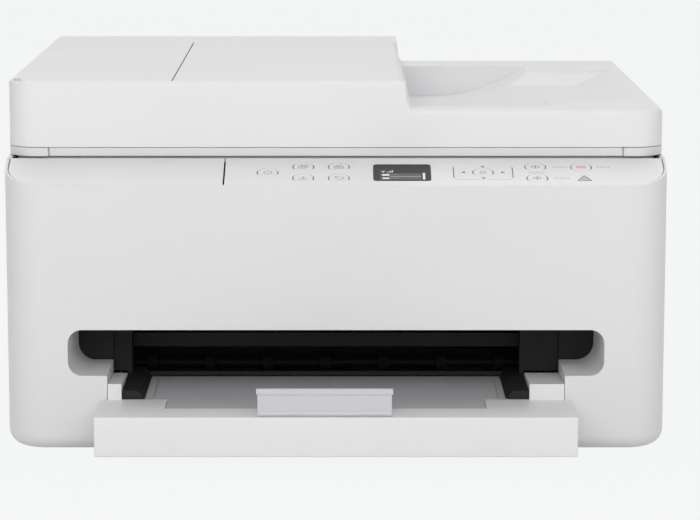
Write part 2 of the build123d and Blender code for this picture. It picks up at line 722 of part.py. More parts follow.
def alarm_lens():
    return on_slope(ALARM_MID, -ALARM_DEPTH / 2) * Cylinder(ALARM_R - LOOSE / 2, ALARM_DEPTH)


def round_key(spot, flange_top):
    """A round key: its cap fills the hole, and its flange stays under the panel."""
    low = -BOARD_DROP + SWITCH_H + KEY_TRAVEL + RUNNING
    cap = on_slope(spot, (KEY_PROUD + low) / 2) * Cylinder(KEY_R, KEY_PROUD - low)
    cap = chamfer(cap.edges().sort_by(Axis.Z)[-1], KEY_EDGE)
    return cap + on_slope(spot, (flange_top + low) / 2) * Cylinder(KEY_FLANGE_R, flange_top - low)


def nav_pad():
    flat = RectangleRounded(NAV_W, NAV_H, NAV_R) - Circle(KEY_R + KEY_GAP)
    return extrude(on_slope(NAV_MID, NAV_LOW) * flat, amount=KEY_PROUD - NAV_LOW)


def nav_gimbal():
    ring = Circle(KEY_FLANGE_R + GIMBAL_GAP + GIMBAL_W) - Circle(KEY_FLANGE_R + GIMBAL_GAP)
    return extrude(on_slope(NAV_MID, GIMBAL_Z0) * ring, amount=GIMBAL_Z1 - GIMBAL_Z0)


# Base frame and output frame
def base_frame():
    """The floor of the machine, with the cassette's guide walls and the posts that carry the engine."""
    inner = NOTCH_HALF_W - TRAY_SIDE + 2 * LOOSE
    outer = inner + GUIDE_WALL_T
    frame = raised(case_plan(CASE_BOTTOM_R + BASE_GAP), CASE_FLOOR_Z + CASE_WALL, BASE_Z1)
    wall_y1 = TRAY_END_Y + TRAY_BACK_ROOM
    for side in (-1, 1):
        x0, x1 = sorted((side * inner, side * outer))
        frame += block(x0, x1, TUNNEL_D + 2, wall_y1, BASE_Z1, GUIDE_WALL_Z)
        x0, x1 = sorted((side * (NOTCH_HALF_W - LOOSE), side * (NOTCH_HALF_W + TUNNEL_WALL + LOOSE)))
        frame -= block(x0, x1, 0, TUNNEL_D + LOOSE, GROUND_Z, BASE_Z1 + 1)
        x0, x1 = sorted((side * (ENGINE_HALF_W - ENGINE_FOOT), side * (ENGINE_HALF_W - FOOT_SIDE)))
        for y in ENGINE_FEET_Y:
            frame += block(x0, x1, y - FOOT_HALF_D, y + FOOT_HALF_D, BASE_Z1, ENGINE_Z0)
    frame += block(-outer, outer, wall_y1, wall_y1 + GUIDE_WALL_T, BASE_Z1, GUIDE_WALL_Z)
    cap_y0, cap_y1 = CAP_Y0 - CAP_SHELF, CAP_Y1 + CAP_SHELF
    frame += block(CAP_X0, CAP_X1, cap_y0, cap_y1, CAP_SEAT_Z - CAP_SHELF, CAP_SEAT_Z)
    pillar_x1 = ENGINE_HALF_W - ENGINE_FOOT - LOOSE
    frame += block(outer + GUIDE_WALL_T, pillar_x1, cap_y0, cap_y1, BASE_Z1, CAP_SEAT_Z)
    back = CASE_D - CASE_WALL - LOOSE
    knee_z = CASE_FLOOR_Z + CASE_BOTTOM_R
    for x in SCREWS_X:
        x0, x1 = x - POST_HALF_W, x + POST_HALF_W
        post = block(x0, x1, back - POST_DEPTH, back, knee_z, SCREW_Z + POST_HALF_W)
        post += block(x0, x1, back - POST_DEPTH, back - POST_HEEL, BASE_Z1, knee_z)
        frame += post - rod_y(x, back - SCREW_L - BITE, back + 1, SCREW_Z, SCREW_R + RUNNING)
    return frame


def output_frame():
    """The black frame behind the opening: end plates, roof, lip and the two rails over the tray."""
    y0 = TUNNEL_D + LOOSE
    y1 = y0 + END_PLATE_T
    back_y0, back_y1 = y0 + END_PLATE_STEP, y1 + END_PLATE_STEP
    out_x = SLOT_HALF_W + TUNNEL_WALL
    left, right = RAIL_L[0] - LOOSE, RAIL_R[1] + LOOSE
    notch = NOTCH_HALF_W
    roof_z = SLOT_Z1 + LOOSE
    outer_z, inner_z = SLOT_Z0 - END_PLATE_LAP, SHOULDER_BACK_Z + 2 * LOOSE
    frame = block(-out_x, out_x, y0, FRAME_BACK_Y, roof_z, roof_z + ROOF_T)
    frame += block(-out_x, -notch, y0, y1, outer_z, roof_z)
    frame += block(notch, out_x, y0, y1, outer_z, roof_z)
    for x0, x1 in ((-notch - END_PLATE_T, left), (right, notch + END_PLATE_T)):
        frame += block(x0, x1, back_y0, back_y1, inner_z, roof_z)
    for x0, x1 in ((-notch - END_PLATE_T, -notch), (notch, notch + END_PLATE_T)):
        frame += block(x0, x1, y0, back_y1, inner_z, roof_z)
        frame += block(x0, x1, back_y0, FRAME_BACK_Y, GUIDE_WALL_Z, SLOT_Z0)
    frame += block(left, left + END_PLATE_T, back_y0, FRAME_BACK_Y, RAIL_Z0, roof_z)
    frame += block(right - END_PLATE_T, right, back_y0, FRAME_BACK_Y, RAIL_Z0, roof_z)
    frame += block(left, right, LID_END_Y + 2 * SEAM, FRAME_BACK_Y, RAIL_Z0, LIP_Z1)
    frame += block(left, right, FRAME_BACK_Y - CROSSBAR_T, FRAME_BACK_Y, *CROSSBAR_Z)
    for x0, x1, slope in ((*RAIL_L, 1), (*RAIL_R, -1)):
        frame += output_rail(x0, x1, slope)
    return frame


def output_rail(x0, x1, slope):
    """A rail over the edge of the output tray. Its inner side slopes and its front corner is cut."""
    outer, inner = (x0, x1) if slope > 0 else (x1, x0)
    edge = inner - slope * RAIL_LEAN
    past = inner + slope * MORE
    section = polygon((outer, RAIL_Z0), (inner, RAIL_Z0), (edge, RAIL_Z1), (outer, RAIL_Z1))
    corner = polygon((inner - slope * RAIL_CUT_W, -MORE), (past, -MORE), (past, RAIL_CUT_D))
    rail = along_y(section, RAIL_Y0, FRAME_BACK_Y)
    return rail - raised(corner, RAIL_Z0 - 1, RAIL_Z1 + 1)


# Engine
def engine_frame():
    """The folded steel frame: two side plates, a back rail, a front rail and two shelves."""
    x = ENGINE_HALF_W
    out_x = x + SHEET_T
    frame = block(-out_x, out_x, RAIL_Y, RAIL_Y + SHEET_T, PLATEN_Z1, ENGINE_Z1)
    frame += block(-out_x, out_x, RAIL_Y - RAIL_FOLD, RAIL_Y, ENGINE_Z1 - SHEET_T, ENGINE_Z1)
    frame += block(-out_x, out_x, FRONT_RAIL_Y, FRONT_RAIL_Y + SHEET_T, *FRONT_RAIL_Z)
    fold_y1 = FRONT_RAIL_Y + SHEET_T + FRONT_FOLD
    z0 = FRONT_RAIL_Z[0]
    frame += block(-out_x, out_x, FRONT_RAIL_Y + SHEET_T, fold_y1, z0, z0 + SHEET_T)
    for side in (-1, 1):
        x0, x1 = sorted((side * x, side * out_x))
        plate = block(x0, x1, ENGINE_Y0, ENGINE_Y1, ENGINE_Z0, ENGINE_Z1)
        plate -= rod_x(x0 - 1, x1 + 1, EJECT_Y, ROLLER_Z, EJECT_SHAFT_R + RUNNING)
        plate -= rod_x(x0 - 1, x1 + 1, FEED_Y, ROLLER_Z, FEED_SHAFT_R + RUNNING)
        frame += plate
        f0, f1 = sorted((side * (x - ENGINE_FOOT), side * x))
        for y in ENGINE_FEET_Y:
            frame += block(f0, f1, y - FOOT_HALF_D, y + FOOT_HALF_D, ENGINE_Z0, ENGINE_Z0 + SHEET_T)
        s0, s1 = sorted((side * (PULLEY_X - SHELF_IN), side * x))
        frame += block(s0, s1, RAIL_Y, BELT_Y + SHELF_BACK, SHELF_Z - SHEET_T, SHELF_Z)
    frame -= rod_z(PULLEY_X, BELT_Y, SHELF_Z - MORE, SHELF_Z + 1, MOTOR_SHAFT_R + 1)
    frame += rod_z(-PULLEY_X, BELT_Y, SHELF_Z, BELT_Z0 + BELT_W + 1, PULLEY_R)
    return frame + arm_brackets()


def arm_brackets():
    """The pin of the pickup arm, and the two brackets that carry it behind the back rail."""
    x0, x1 = PAPER_MID_X - ARM_PIN_HALF, PAPER_MID_X + ARM_PIN_HALF
    out = [rod_x(x0, x1, ARM_Y, ARM_Z, PIN_R)]
    y0, y1 = RAIL_Y + SHEET_T, ARM_Y + ARM_HUB_R
    top = PLATEN_Z1 + ARM_BRACKET_UP
    for a, b in ((x0, x0 + ARM_BRACKET_T), (x1 - ARM_BRACKET_T, x1)):
        out.append(block(a, b, y0 - BITE, y0, PLATEN_Z1, top) + block(a, b, y0, y1, ARM_Z - ARM_HUB_R, top))
    return Compound(out)


def platen():
    """The ribbed bar under the print head."""
    x0, x1 = -ENGINE_HALF_W, CAP_X0 - 1
    low = PLATEN_Z1 - PLATEN_RIB_H
    body = block(x0, x1, PLATEN_Y0, PLATEN_Y1, low - PLATEN_T, low)
    middle = (PLATEN_Y0 + PLATEN_Y1) / 2
    for y in (PLATEN_Y0 + PLATEN_KEEL_IN, middle, PLATEN_Y1 - PLATEN_KEEL_IN):
        body += block(x0, x1, y - 1, y + 1, low - PLATEN_T - PLATEN_KEEL_H, low - PLATEN_T)
    half = PLATEN_RIB_T / 2
    for n in range(int(PAPER_W // PLATEN_RIB_PITCH)):
        x = TRAY_IN_X0 + PLATEN_RIB_IN + PLATEN_RIB_PITCH * n
        if x + half < x1:
            body += block(x - half, x + half, PLATEN_Y0 + 1, PLATEN_Y1 - 1, low, PLATEN_Z1)
    return body


def roller(y, shaft_r, tyre_r, tyre_w, spots, gear):
    """A driven shaft across the machine with rubber tyres, and its gear at the left end."""
    x1 = ENGINE_HALF_W + SHEET_T + SHAFT_OUT
    shaft = rod_x(-x1, x1, y, ROLLER_Z, shaft_r)
    for x in spots:
        shaft += rod_x(x - tyre_w / 2, x + tyre_w / 2, y, ROLLER_Z, tyre_r)
    return shaft + toothed_wheel(gear, y)


def toothed_wheel(teeth, y):
    """A spur gear on a shaft along X, just inside the left side plate."""
    pitch_r = teeth * GEAR_MODULE / 2
    wheel = Circle(pitch_r - GEAR_MODULE)
    for n in range(teeth):
        tooth = Pos(pitch_r - GEAR_MODULE / 2, 0) * Rectangle(2.6 * GEAR_MODULE, 1.3 * GEAR_MODULE)
        wheel += Rot(0, 0, 360 / teeth * n) * tooth
    x0 = -ENGINE_HALF_W + SHAFT_OUT
    return Pos(0, y, ROLLER_Z) * along_x(wheel, x0, x0 + GEAR_W)


def tyre_spots(count, pitch):
    """Places of the tyres on a roller, evenly on both sides of the paper's middle."""
    return [PAPER_MID_X + pitch * (n - (count - 1) / 2) for n in range(count)]


def feed_roller():
    return roller(FEED_Y, FEED_SHAFT_R, FEED_R, FEED_TYRE_W, tyre_spots(*FEED_TYRES), FEED_TEETH)


def eject_roller():
    return roller(EJECT_Y, EJECT_SHAFT_R, EJECT_R, EJECT_TYRE_W, tyre_spots(*EJECT_TYRES), EJECT_TEETH)


def drive_motors():
    """The paper motor on the left side plate, and the carriage motor under the right shelf."""
    x0 = -ENGINE_HALF_W
    x1 = x0 + PAPER_MOTOR_L
    y = ENGINE_Y1 - PAPER_MOTOR_R - 4
    paper = rod_x(x0, x1, y, PAPER_MOTOR_Z, PAPER_MOTOR_R) + rod_x(x1, x1 + 4, y, PAPER_MOTOR_Z, MOTOR_HUB_R)
    top = SHELF_Z - SHEET_T
    carriage = rod_z(PULLEY_X, BELT_Y, top - CARRIAGE_MOTOR_L, top, CARRIAGE_MOTOR_R)
    carriage += rod_z(PULLEY_X, BELT_Y, top, BELT_Z0 + BELT_W + 1, MOTOR_SHAFT_R)
    return Compound([paper, carriage])


def motor_pulley():
    z0 = SHELF_Z + LOOSE
    wheel = rod_z(PULLEY_X, BELT_Y, z0, BELT_Z0 + BELT_W + BELT_ROOM, PULLEY_R)
    wheel += rod_z(PULLEY_X, BELT_Y, z0, BELT_Z0 - BELT_ROOM, PULLEY_R + PULLEY_RIM)
    return wheel - rod_z(PULLEY_X, BELT_Y, SHELF_Z, BELT_Z0 + BELT_W + MORE, MOTOR_SHAFT_R + RUNNING)


def timing_belt():
    inner = PULLEY_R + RUNNING
    loop = SlotCenterToCenter(2 * PULLEY_X, 2 * (inner + BELT_T))
    loop -= SlotCenterToCenter(2 * PULLEY_X, 2 * inner)
    return raised(Pos(0, BELT_Y) * loop, BELT_Z0, BELT_Z0 + BELT_W)


def carriage():
    """The carriage at its home on the right, with the print head under it and a hook over the rail."""
    x = CARRIAGE_HOME_X
    x0, x1 = x - CARRIAGE_W / 2, x + CARRIAGE_W / 2
    body_z0 = HEAD_Z0 + HEAD_H
    hook_z0, hook_z1 = ENGINE_Z1 + LOOSE, ENGINE_Z1 + HOOK_T
    body = block(x0, x1, CARRIAGE_Y0, CARRIAGE_Y1, body_z0, CARRIAGE_Z1)
    for n in range(CARTRIDGES):
        a, b = cartridge_span(n)
        body -= block(a - LOOSE, b + LOOSE, CART_Y0 - LOOSE, CART_Y1 + LOOSE, CART_Z0, CARRIAGE_Z1 + 1)
    head_y0, head_y1 = CAP_Y0 + HEAD_IN, CAP_Y1 - HEAD_IN
    body += block(x - HEAD_HALF_W, x + HEAD_HALF_W, head_y0, head_y1, HEAD_Z0, body_z0)
    a, b = x0 + HOOK_IN, x1 - HOOK_IN
    body += block(a, b, CARRIAGE_Y1 - HOOK_D, CARRIAGE_Y1, CARRIAGE_Z1, hook_z1)
    belt_face = BELT_Y - PULLEY_R - RUNNING - BELT_T - LOOSE
    body += block(a, b, CARRIAGE_Y1, belt_face, hook_z0, hook_z1)
    body += block(x - BELT_GRIP_HALF, x + BELT_GRIP_HALF, belt_face - 2, belt_face, BELT_Z0, hook_z1)
    slide_z0 = FRONT_RAIL_Z[0] + SHEET_T + LOOSE
    body += block(a, b, CARRIAGE_Y0 - SLIDER_D, CARRIAGE_Y0, slide_z0, slide_z0 + SLIDER_H)
    return body


def cartridge_span(n):
    pitch = (CARRIAGE_W - 2 * CARRIAGE_SIDE) / CARTRIDGES
    x0 = CARRIAGE_HOME_X - CARRIAGE_W / 2 + CARRIAGE_SIDE + pitch * n
    return x0 + CART_GAP, x0 + pitch - CART_GAP


def ink_cartridges():
    out = []
    for n in range(CARTRIDGES):
        x0, x1 = cartridge_span(n)
        tank = block(x0, x1, CART_Y0, CART_Y1, CART_Z0, CART_TOP)
        tank = fillet(tank.edges().filter_by(Axis.X).group_by(Axis.Z)[-1], CART_EDGE_R)
        grip_y0, grip_z1 = CART_Y0 - CART_GRIP, CART_TOP - CART_EDGE_R
        grip = block(x0 + CART_GRIP, x1 - CART_GRIP, grip_y0, CART_Y0, grip_z1 - CART_GRIP_H, grip_z1)
        out.append(tank + grip)
    return Compound(out)


def cap_unit():
    """The sled whose rubber cap closes the print head at home."""
    x = CARRIAGE_HOME_X
    base_z1 = CAP_SEAT_Z + CAP_BASE_T
    half = HEAD_HALF_W - CAP_LIP_T
    y0, y1 = CAP_Y0 + HEAD_IN + CAP_LIP_T, CAP_Y1 - HEAD_IN - CAP_LIP_T
    base = block(CAP_X0 + 1, CAP_X1 - 1, CAP_Y0, CAP_Y1, CAP_SEAT_Z + LOOSE, base_z1)
    rim = block(x - half, x + half, y0, y1, base_z1, CAP_TOP)
    t = CAP_LIP_T
    hollow = block(x - half + t, x + half - t, y0 + t, y1 - t, base_z1 + 1, CAP_TOP + 1)
    return base + rim - hollow


def pickup_arm():
    """The arm that lowers the pickup roller on to the paper."""
    half = ARM_HALF_W
    arm = rod_x(-half, half, ARM_Y, ARM_Z, ARM_HUB_R)
    hub_y, tip_y = ARM_Y - ARM_DEPTH, PICK_Y + ARM_DEPTH
    upper = [(ARM_Y, ARM_Z + ARM_HUB_R), (tip_y, PICK_Z + ARM_HUB_R)]
    flat = polygon((hub_y, ARM_Z - ARM_DEPTH), *upper, (tip_y, PICK_Z - ARM_DEPTH))
    for side in (-1, 1):
        x0, x1 = sorted((side * (half - ARM_SIDE_T), side * half))
        arm += along_x(flat, x0, x1)
    arm -= rod_x(-half - 1, half + 1, ARM_Y, ARM_Z, PIN_R + RUNNING)
    arm -= rod_x(-half - 1, half + 1, PICK_Y, PICK_Z, PICK_SHAFT_R + RUNNING)
    return Pos(PAPER_MID_X, 0, 0) * arm


def pickup_roller():
    wheel = rod_x(-PICK_HALF_W, PICK_HALF_W, PICK_Y, PICK_Z, PICK_R)
    wheel += rod_x(-ARM_HALF_W - BITE, ARM_HALF_W + BITE, PICK_Y, PICK_Z, PICK_SHAFT_R)
    return Pos(PAPER_MID_X, 0, 0) * wheel


def main_board():
    """The main board with its chip, a long connector and two round capacitors."""
    x0, x1 = BOARD_X, BOARD_X + BOARD_T
    y0, y1 = MAIN_BOARD_Y
    z0, z1 = MAIN_BOARD_Z
    board = block(x0, x1, y0, y1, z0, z1)
    chip_y, chip_z = (y0 + y1) / 2, (z0 + z1) / 2
    half = CHIP_W / 2
    board += block(x1, x1 + CHIP_T, chip_y - half, chip_y + half, chip_z - half, chip_z + half)
    board += block(x1, x1 + PLUG_T, y0 + 5, y0 + 5 + PLUG_W, z0 + 18, z1 - 18)
    for n in (1, 2):
        board += rod_x(x1, x1 + CAPACITOR_H, y1 - CAPACITOR_PITCH * n, z0 + 18, CAPACITOR_R)
    return board


def power_supply():
    x0, x1 = SUPPLY_X
    y0, y1 = SUPPLY_Y
    box = block(x0, x1, y0, y1, BASE_Z1, SUPPLY_Z1)
    count = int((y1 - y0 - SUPPLY_SLOT_PITCH) // SUPPLY_SLOT_PITCH)
    for n in range(1, count + 1):
        y = y0 + SUPPLY_SLOT_PITCH * n
        slot_y1, slot_z0 = y + SUPPLY_SLOT_W, SUPPLY_Z1 - CASE_WALL
        box -= block(x0 + SUPPLY_SLOT_W, x1 - SUPPLY_SLOT_W, y, slot_y1, slot_z0, SUPPLY_Z1 + 1)
    return box


def power_inlet():
    """The socket for the mains lead, with its two pins."""
    x, z = INLET["x"], INLET["z"]
    half_w, half_h = INLET["w"] / 2, INLET["h"] / 2
    box = block(x - half_w, x + half_w, INLET_BOX_Y, CASE_D, z - half_h, z + half_h)
    half_w, half_h = INLET_MOUTH_W / 2, INLET_MOUTH_H / 2
    box -= block(x - half_w, x + half_w, INLET_Y0, CASE_D + 1, z - half_h, z + half_h)
    for side in (-1, 1):
        box += rod_y(x + side * INLET_PIN_X, INLET_Y0 - 1, CASE_D - INLET_PIN_END, z, INLET_PIN_R)
    return box


def signal_ports():
    """The sockets for the computer lead and the telephone lines."""
    x, z = PORTS["x"], PORTS["z"]
    half_w, half_h = PORTS["w"] / 2, PORTS["h"] / 2
    box = block(x - half_w, x + half_w, PORTS_Y0, CASE_D, z - half_h, z + half_h)
    box += block(BOARD_X + BOARD_T, x - half_w, PORTS_Y0, PORTS_Y0 + PORTS_WALL, z - PORTS_ARM, z + PORTS_ARM)
    y0 = PORTS_Y0 + PORTS_WALL
    width, low, high = USB_MOUTH
    box -= block(x - width / 2, x + width / 2, y0, CASE_D + 1, z + low, z + high)
    width, high, low = LINE_MOUTH
    for side in (-1, 1):
        middle = x + side * LINE_X
        box -= block(middle - width / 2, middle + width / 2, y0, CASE_D + 1, z - low, z - high)
    return box


def jam_cover():
    """The door in the back wall. It swings down about its lower edge to free jammed paper."""
    x = JAM_HALF_W - SEAM
    top = JAM_Z1 - SEAM
    face = CASE_D - CASE_WALL
    door = block(-x, x, face, CASE_D, JAM_PIVOT_Z, top)
    door += rod_x(-x, x, JAM_PIVOT_Y, JAM_PIVOT_Z, JAM_BARREL_R)
    pin_x = JAM_HALF_W - SEAM + JAM_PIN_OUT
    door += rod_x(-pin_x, pin_x, JAM_PIVOT_Y, JAM_PIVOT_Z, JAM_PIN_R)
    inner = face - JAM_RIB_D
    z0, z1 = JAM_PIVOT_Z + JAM_RIB_END, top - JAM_RIB_END
    rib = polygon((face, z0), (inner, z0 + JAM_RIB_D), (inner, z1 - JAM_RIB_D), (face, z1))
    count = int((JAM_HALF_W - JAM_RIB_D) // JAM_RIB_PITCH)
    for n in range(-count, count + 1):
        middle = JAM_RIB_PITCH * n
        door += along_x(rib, middle - JAM_RIB_T / 2, middle + JAM_RIB_T / 2)
    width, height, depth = JAM_GRIP
    z1 = top - JAM_RIB_END
    return door - block(-width / 2, width / 2, CASE_D - depth, CASE_D + 1, z1 - height, z1)


# Cassette
def cassette_tray():
    """The cassette: bar, paper tray and the two shoulders beside the rails."""
    side = NOTCH_HALF_W - TRAY_SIDE
    front = -BAR_BACK
    bar = block(-BAR_HALF_W, BAR_HALF_W, -BAR_OUT, front, BAR_Z0, BAR_Z1)
    bar = fillet(bar.edges().filter_by(Axis.Z), BAR_EDGE_R)
    bar = fillet(bar.edges().group_by(Axis.Y)[0].filter_by(Axis.X), BAR_EDGE_R)
    bar -= block(BAR_CUT_X0, BAR_CUT_X1, -BAR_CUT_D, 1, BAR_Z0 + BAR_CUT_FLOOR, BAR_Z1 + 1)
    tray = bar + block(-side, side, front, TRAY_END_Y, BAR_Z0, TRAY_WALL_Z)
    for x0, x1 in ((-side, SHOULDER_L_X), (SHOULDER_R_X, side)):
        low = BAR_Z0 + 1
        wedge = polygon((front, low), (TUNNEL_D, low), (TUNNEL_D, SHOULDER_BACK_Z), (front, SHOULDER_FRONT_Z))
        tray += along_x(wedge, x0, x1)
    x0, x1 = TRAY_IN_X0, TRAY_IN_X1
    tray -= block(x0, x1, 0, TRAY_IN_Y1, TRAY_IN_Z0, SHOULDER_FRONT_Z + 1)
    tray -= block(x0, x1, TRAY_IN_Y0, 1, TRAY_IN_Z0, TRAY_WALL_Z)
    wall = TRAY_FLOOR_T
    for a, b in ((wall - side, x0 - wall), (x1 + wall, side - wall)):
        tray -= block(a, b, TUNNEL_D + wall, TRAY_END_Y - wall, TRAY_IN_Z0, TRAY_WALL_Z + 1)
    x0, x1 = PAPER_MID_X - PICK_GAP / 2, PAPER_MID_X + PICK_GAP / 2
    tray -= block(x0, x1, TRAY_IN_Y1 - 1, TRAY_END_Y + 1, TRAY_IN_Z0, TRAY_WALL_Z + 1)
    return tray - flap_trough()


def flap_trough():
    """A shallow trough in the bar's top, which the stopper's hinge barrel turns in."""
    x0, x1 = FLAP_MID_X - FLAP_HALF_W - LOOSE, FLAP_MID_X + FLAP_HALF_W + LOOSE
    return rod_x(x0, x1, FLAP_Y, FLAP_Z, FLAP_T + LOOSE)


def cassette_lid():
    """The output tray plate, which covers the front of the cassette."""
    y0 = -BAR_CUT_D + SEAM
    z0 = BAR_Z1 - LID_T
    tongue = block(BAR_CUT_X0 + SEAM, BAR_CUT_X1 - SEAM, y0, BAR_BACK, z0, BAR_Z1)
    lid = tongue + block(SHOULDER_L_X + LOOSE, SHOULDER_R_X - LOOSE, 0, LID_END_Y, z0, BAR_Z1)
    y0, y1 = LID_GROOVE_END, LID_END_Y - LID_GROOVE_END
    for x in (BAR_CUT_X0 - LID_GROOVE_OUT, BAR_CUT_X1 + LID_GROOVE_OUT):
        half = LID_GROOVE_W / 2
        lid -= block(x - half, x + half, y0, y1, BAR_Z1 - LID_GROOVE_D, BAR_Z1 + 1)
    return lid


def stopper_flap():
    """The paper stop. It stands on the bar and folds back on to the lid."""
    x0, x1 = FLAP_MID_X - FLAP_HALF_W, FLAP_MID_X + FLAP_HALF_W
    y0, y1 = FLAP_Y - FLAP_T / 2, FLAP_Y + FLAP_T / 2
    flap = block(x0, x1, y0, y1, FLAP_Z, FLAP_Z1)
    flap += block(x0 - FLAP_LIP, x1 + FLAP_LIP, y0 - FLAP_LIP, y1, FLAP_Z1 - FLAP_LIP_H, FLAP_Z1)
    return flap + rod_x(x0, x1, FLAP_Y, FLAP_Z, FLAP_T)


def side_guide(x, side):
    """A paper guide that stands on the tray floor beside the stack."""
    z0, z1 = TRAY_IN_Z0 + LOOSE / 2, TRAY_WALL_Z - 2
    x0, x1 = sorted((x, x + side * GUIDE_T))
    wall = block(x0, x1, GUIDE_Y0, GUIDE_Y1, z0, z1)
    x0, x1 = sorted((x, x - side * GUIDE_FOOT_W))
    return wall + block(x0, x1, *GUIDE_FOOT_Y, z0, z0 + GUIDE_FOOT_T)


def end_guide():
    """The guide at the near end of the stack, which slides back for short paper."""
    z0 = TRAY_IN_Z0 + LOOSE / 2
    y0 = TRAY_IN_Y0 + LOOSE
    x = PAPER_MID_X
    half, foot = END_GUIDE_W / 2, END_FOOT_W / 2
    wall = block(x - half, x + half, y0, y0 + GUIDE_T, z0, TRAY_WALL_Z - 1)
    return wall + block(x - foot, x + foot, y0, y0 + END_FOOT_D, z0, z0 + GUIDE_FOOT_T)


# Scanner unit
def scanner_frame():
    """The white frame that shows as a strip under the cover. It holds the glass and the hinge."""
    frame = raised(cover_plan(0), STRIP_Z0, STRIP_Z1)
    frame += raised(cover_plan(CASE_WALL + 2), SKIRT_Z0, STRIP_Z0 + 1)
    front, below, above = PANEL_RUN - 1, SKIRT_Z0 - 1, STRIP_Z1 + 1
    frame -= block(-CORNER_X, CORNER_X, front, PANEL_RUN + STRIP_IN, below, above)
    y0 = SCAN_PIVOT_Y - SCAN_PIVOT_R - 1
    frame -= block(-HALF_W - 1, HALF_W + 1, y0, CASE_D + MORE, below, above)
    half = HALF_W - COVER_BACK_R + SCAN_PIVOT_R
    frame += block(-half, half, y0, SCAN_PIVOT_Y, SCAN_PIVOT_Z - SCAN_PIVOT_R, STRIP_Z1)
    frame += rod_x(-half, half, SCAN_PIVOT_Y, SCAN_PIVOT_Z, SCAN_PIVOT_R) & block(
        -half, half, SCAN_PIVOT_Y, CASE_D, 0, STRIP_Z1
    )
    frame -= block(WELL_X0, WELL_X1, WELL_Y0, WELL_Y1, GLASS_Z1 - GLASS_T, above)
    low_x0 = max(WELL_X0 + GLASS_SEAT, -TUB_HALF_W + 2 * TUB_WALL)
    low_x1 = min(WELL_X1 - GLASS_SEAT, TUB_HALF_W - 2 * TUB_WALL)
    frame -= block(low_x0, low_x1, WELL_Y0 + GLASS_SEAT, WELL_Y1 - GLASS_SEAT, below, STRIP_Z1)
    for side in (-1, 1):
        x = side * CORNER_X
        half = CORNER_SEAM_W / 2
        frame -= block(x - half, x + half, front, PANEL_RUN + CORNER_SEAM_D, below, above)
    frame -= scanner_hinge_room()
    for side in (-1, 1):
        x0, x1 = side * COVER_EAR_X - EAR_T / 2, side * COVER_EAR_X + EAR_T / 2
        y0, y1 = COVER_PIVOT_Y - COVER_EAR_R, COVER_PIVOT_Y + COVER_EAR_R
        ear = block(x0, x1, y0, y1, STRIP_Z1 - 1, COVER_PIVOT_Z)
        ear += rod_x(x0, x1, COVER_PIVOT_Y, COVER_PIVOT_Z, COVER_EAR_R)
        frame += ear + rod_x(x0 - PIN_OUT, x1 + PIN_OUT, COVER_PIVOT_Y, COVER_PIVOT_Z, PIN_R)
    return frame + stay_lug()


def scanner_hinge_room():
    """Notches and pin holes for the casing's hinge ears."""
    out = []
    for side in (-1, 1):
        x0, x1 = side * SCAN_EAR_X - EAR_T / 2, side * SCAN_EAR_X + EAR_T / 2
        y0 = SCAN_PIVOT_Y - SCAN_EAR_D
        out.append(block(x0 - SEAM, x1 + SEAM, y0, CASE_D + 1, SKIRT_Z0 - MORE, STRIP_Z1 + 1))
        reach = PIN_OUT + PIN_END
        out.append(rod_x(x0 - reach, x1 + reach, SCAN_PIVOT_Y, SCAN_PIVOT_Z, PIN_R + RUNNING))
    return Compound(out)


def stay_lug():
    """The lug and pin on the frame's right side, which carry the stay."""
    x1 = STAY_X - STAY_T / 2 - LOOSE
    y0, y1 = STAY_Y - STAY_LUG_D / 2, STAY_Y + STAY_LUG_D / 2
    lug = block(x1 - STAY_LUG_T, x1, y0, y1, STAY_Z - STAY_EYE_R, SKIRT_Z0 + 1)
    return lug + rod_x(x1 - STAY_LUG_T, STAY_X + STAY_T / 2, STAY_Y, STAY_Z, PIN_R)


def scanner_tub():
    """The lower case of the scanner, hung under the frame."""
    tub = block(-TUB_HALF_W, TUB_HALF_W, TUB_Y0, TUB_Y1, TUB_Z0, SKIRT_Z0)
    w = TUB_WALL
    tub -= block(-TUB_HALF_W + w, TUB_HALF_W - w, TUB_Y0 + w, TUB_Y1 - w, TUB_Z0 + w, SKIRT_Z0 + 1)
    return tub - rod_x(-TUB_HALF_W + 1, TUB_HALF_W - 1, CIS_ROD_Y, CIS_ROD_Z, CIS_ROD_R)


def cis_rod():
    return rod_x(-TUB_HALF_W + 1, TUB_HALF_W - 1, CIS_ROD_Y, CIS_ROD_Z, CIS_ROD_R)


def cis_bar():
    """The image sensor on its carrier, which travels under the glass."""
    x = CIS_HOME_X
    x0, x1 = x - CIS_W / 2, x + CIS_W / 2
    top = GLASS_Z1 - GLASS_T - LOOSE
    bar = block(x0, x1, CIS_Y0, CIS_Y1, CIS_Z0, top)
    y0, y1 = CIS_Y0 + CIS_SLIT, CIS_Y1 - CIS_SLIT
    bar -= block(x - CIS_SLIT / 2, x + CIS_SLIT / 2, y0, y1, top - CIS_SLIT / 2, top + 1)
    y0, y1 = CIS_ROD_Y - CIS_SHOE_D / 2, CIS_ROD_Y + CIS_SHOE_D / 2
    bar += block(x0 - 2, x1 + 2, y0, y1, CIS_ROD_Z - CIS_SHOE_DROP, CIS_Z0)
    return bar - rod_x(x0 - MORE, x1 + MORE, CIS_ROD_Y, CIS_ROD_Z, CIS_ROD_R + RUNNING)


def scanner_glass():
    fit = LOOSE
    return block(WELL_X0 + fit, WELL_X1 - fit, WELL_Y0 + fit, WELL_Y1 - fit, GLASS_Z1 - GLASS_T, GLASS_Z1)


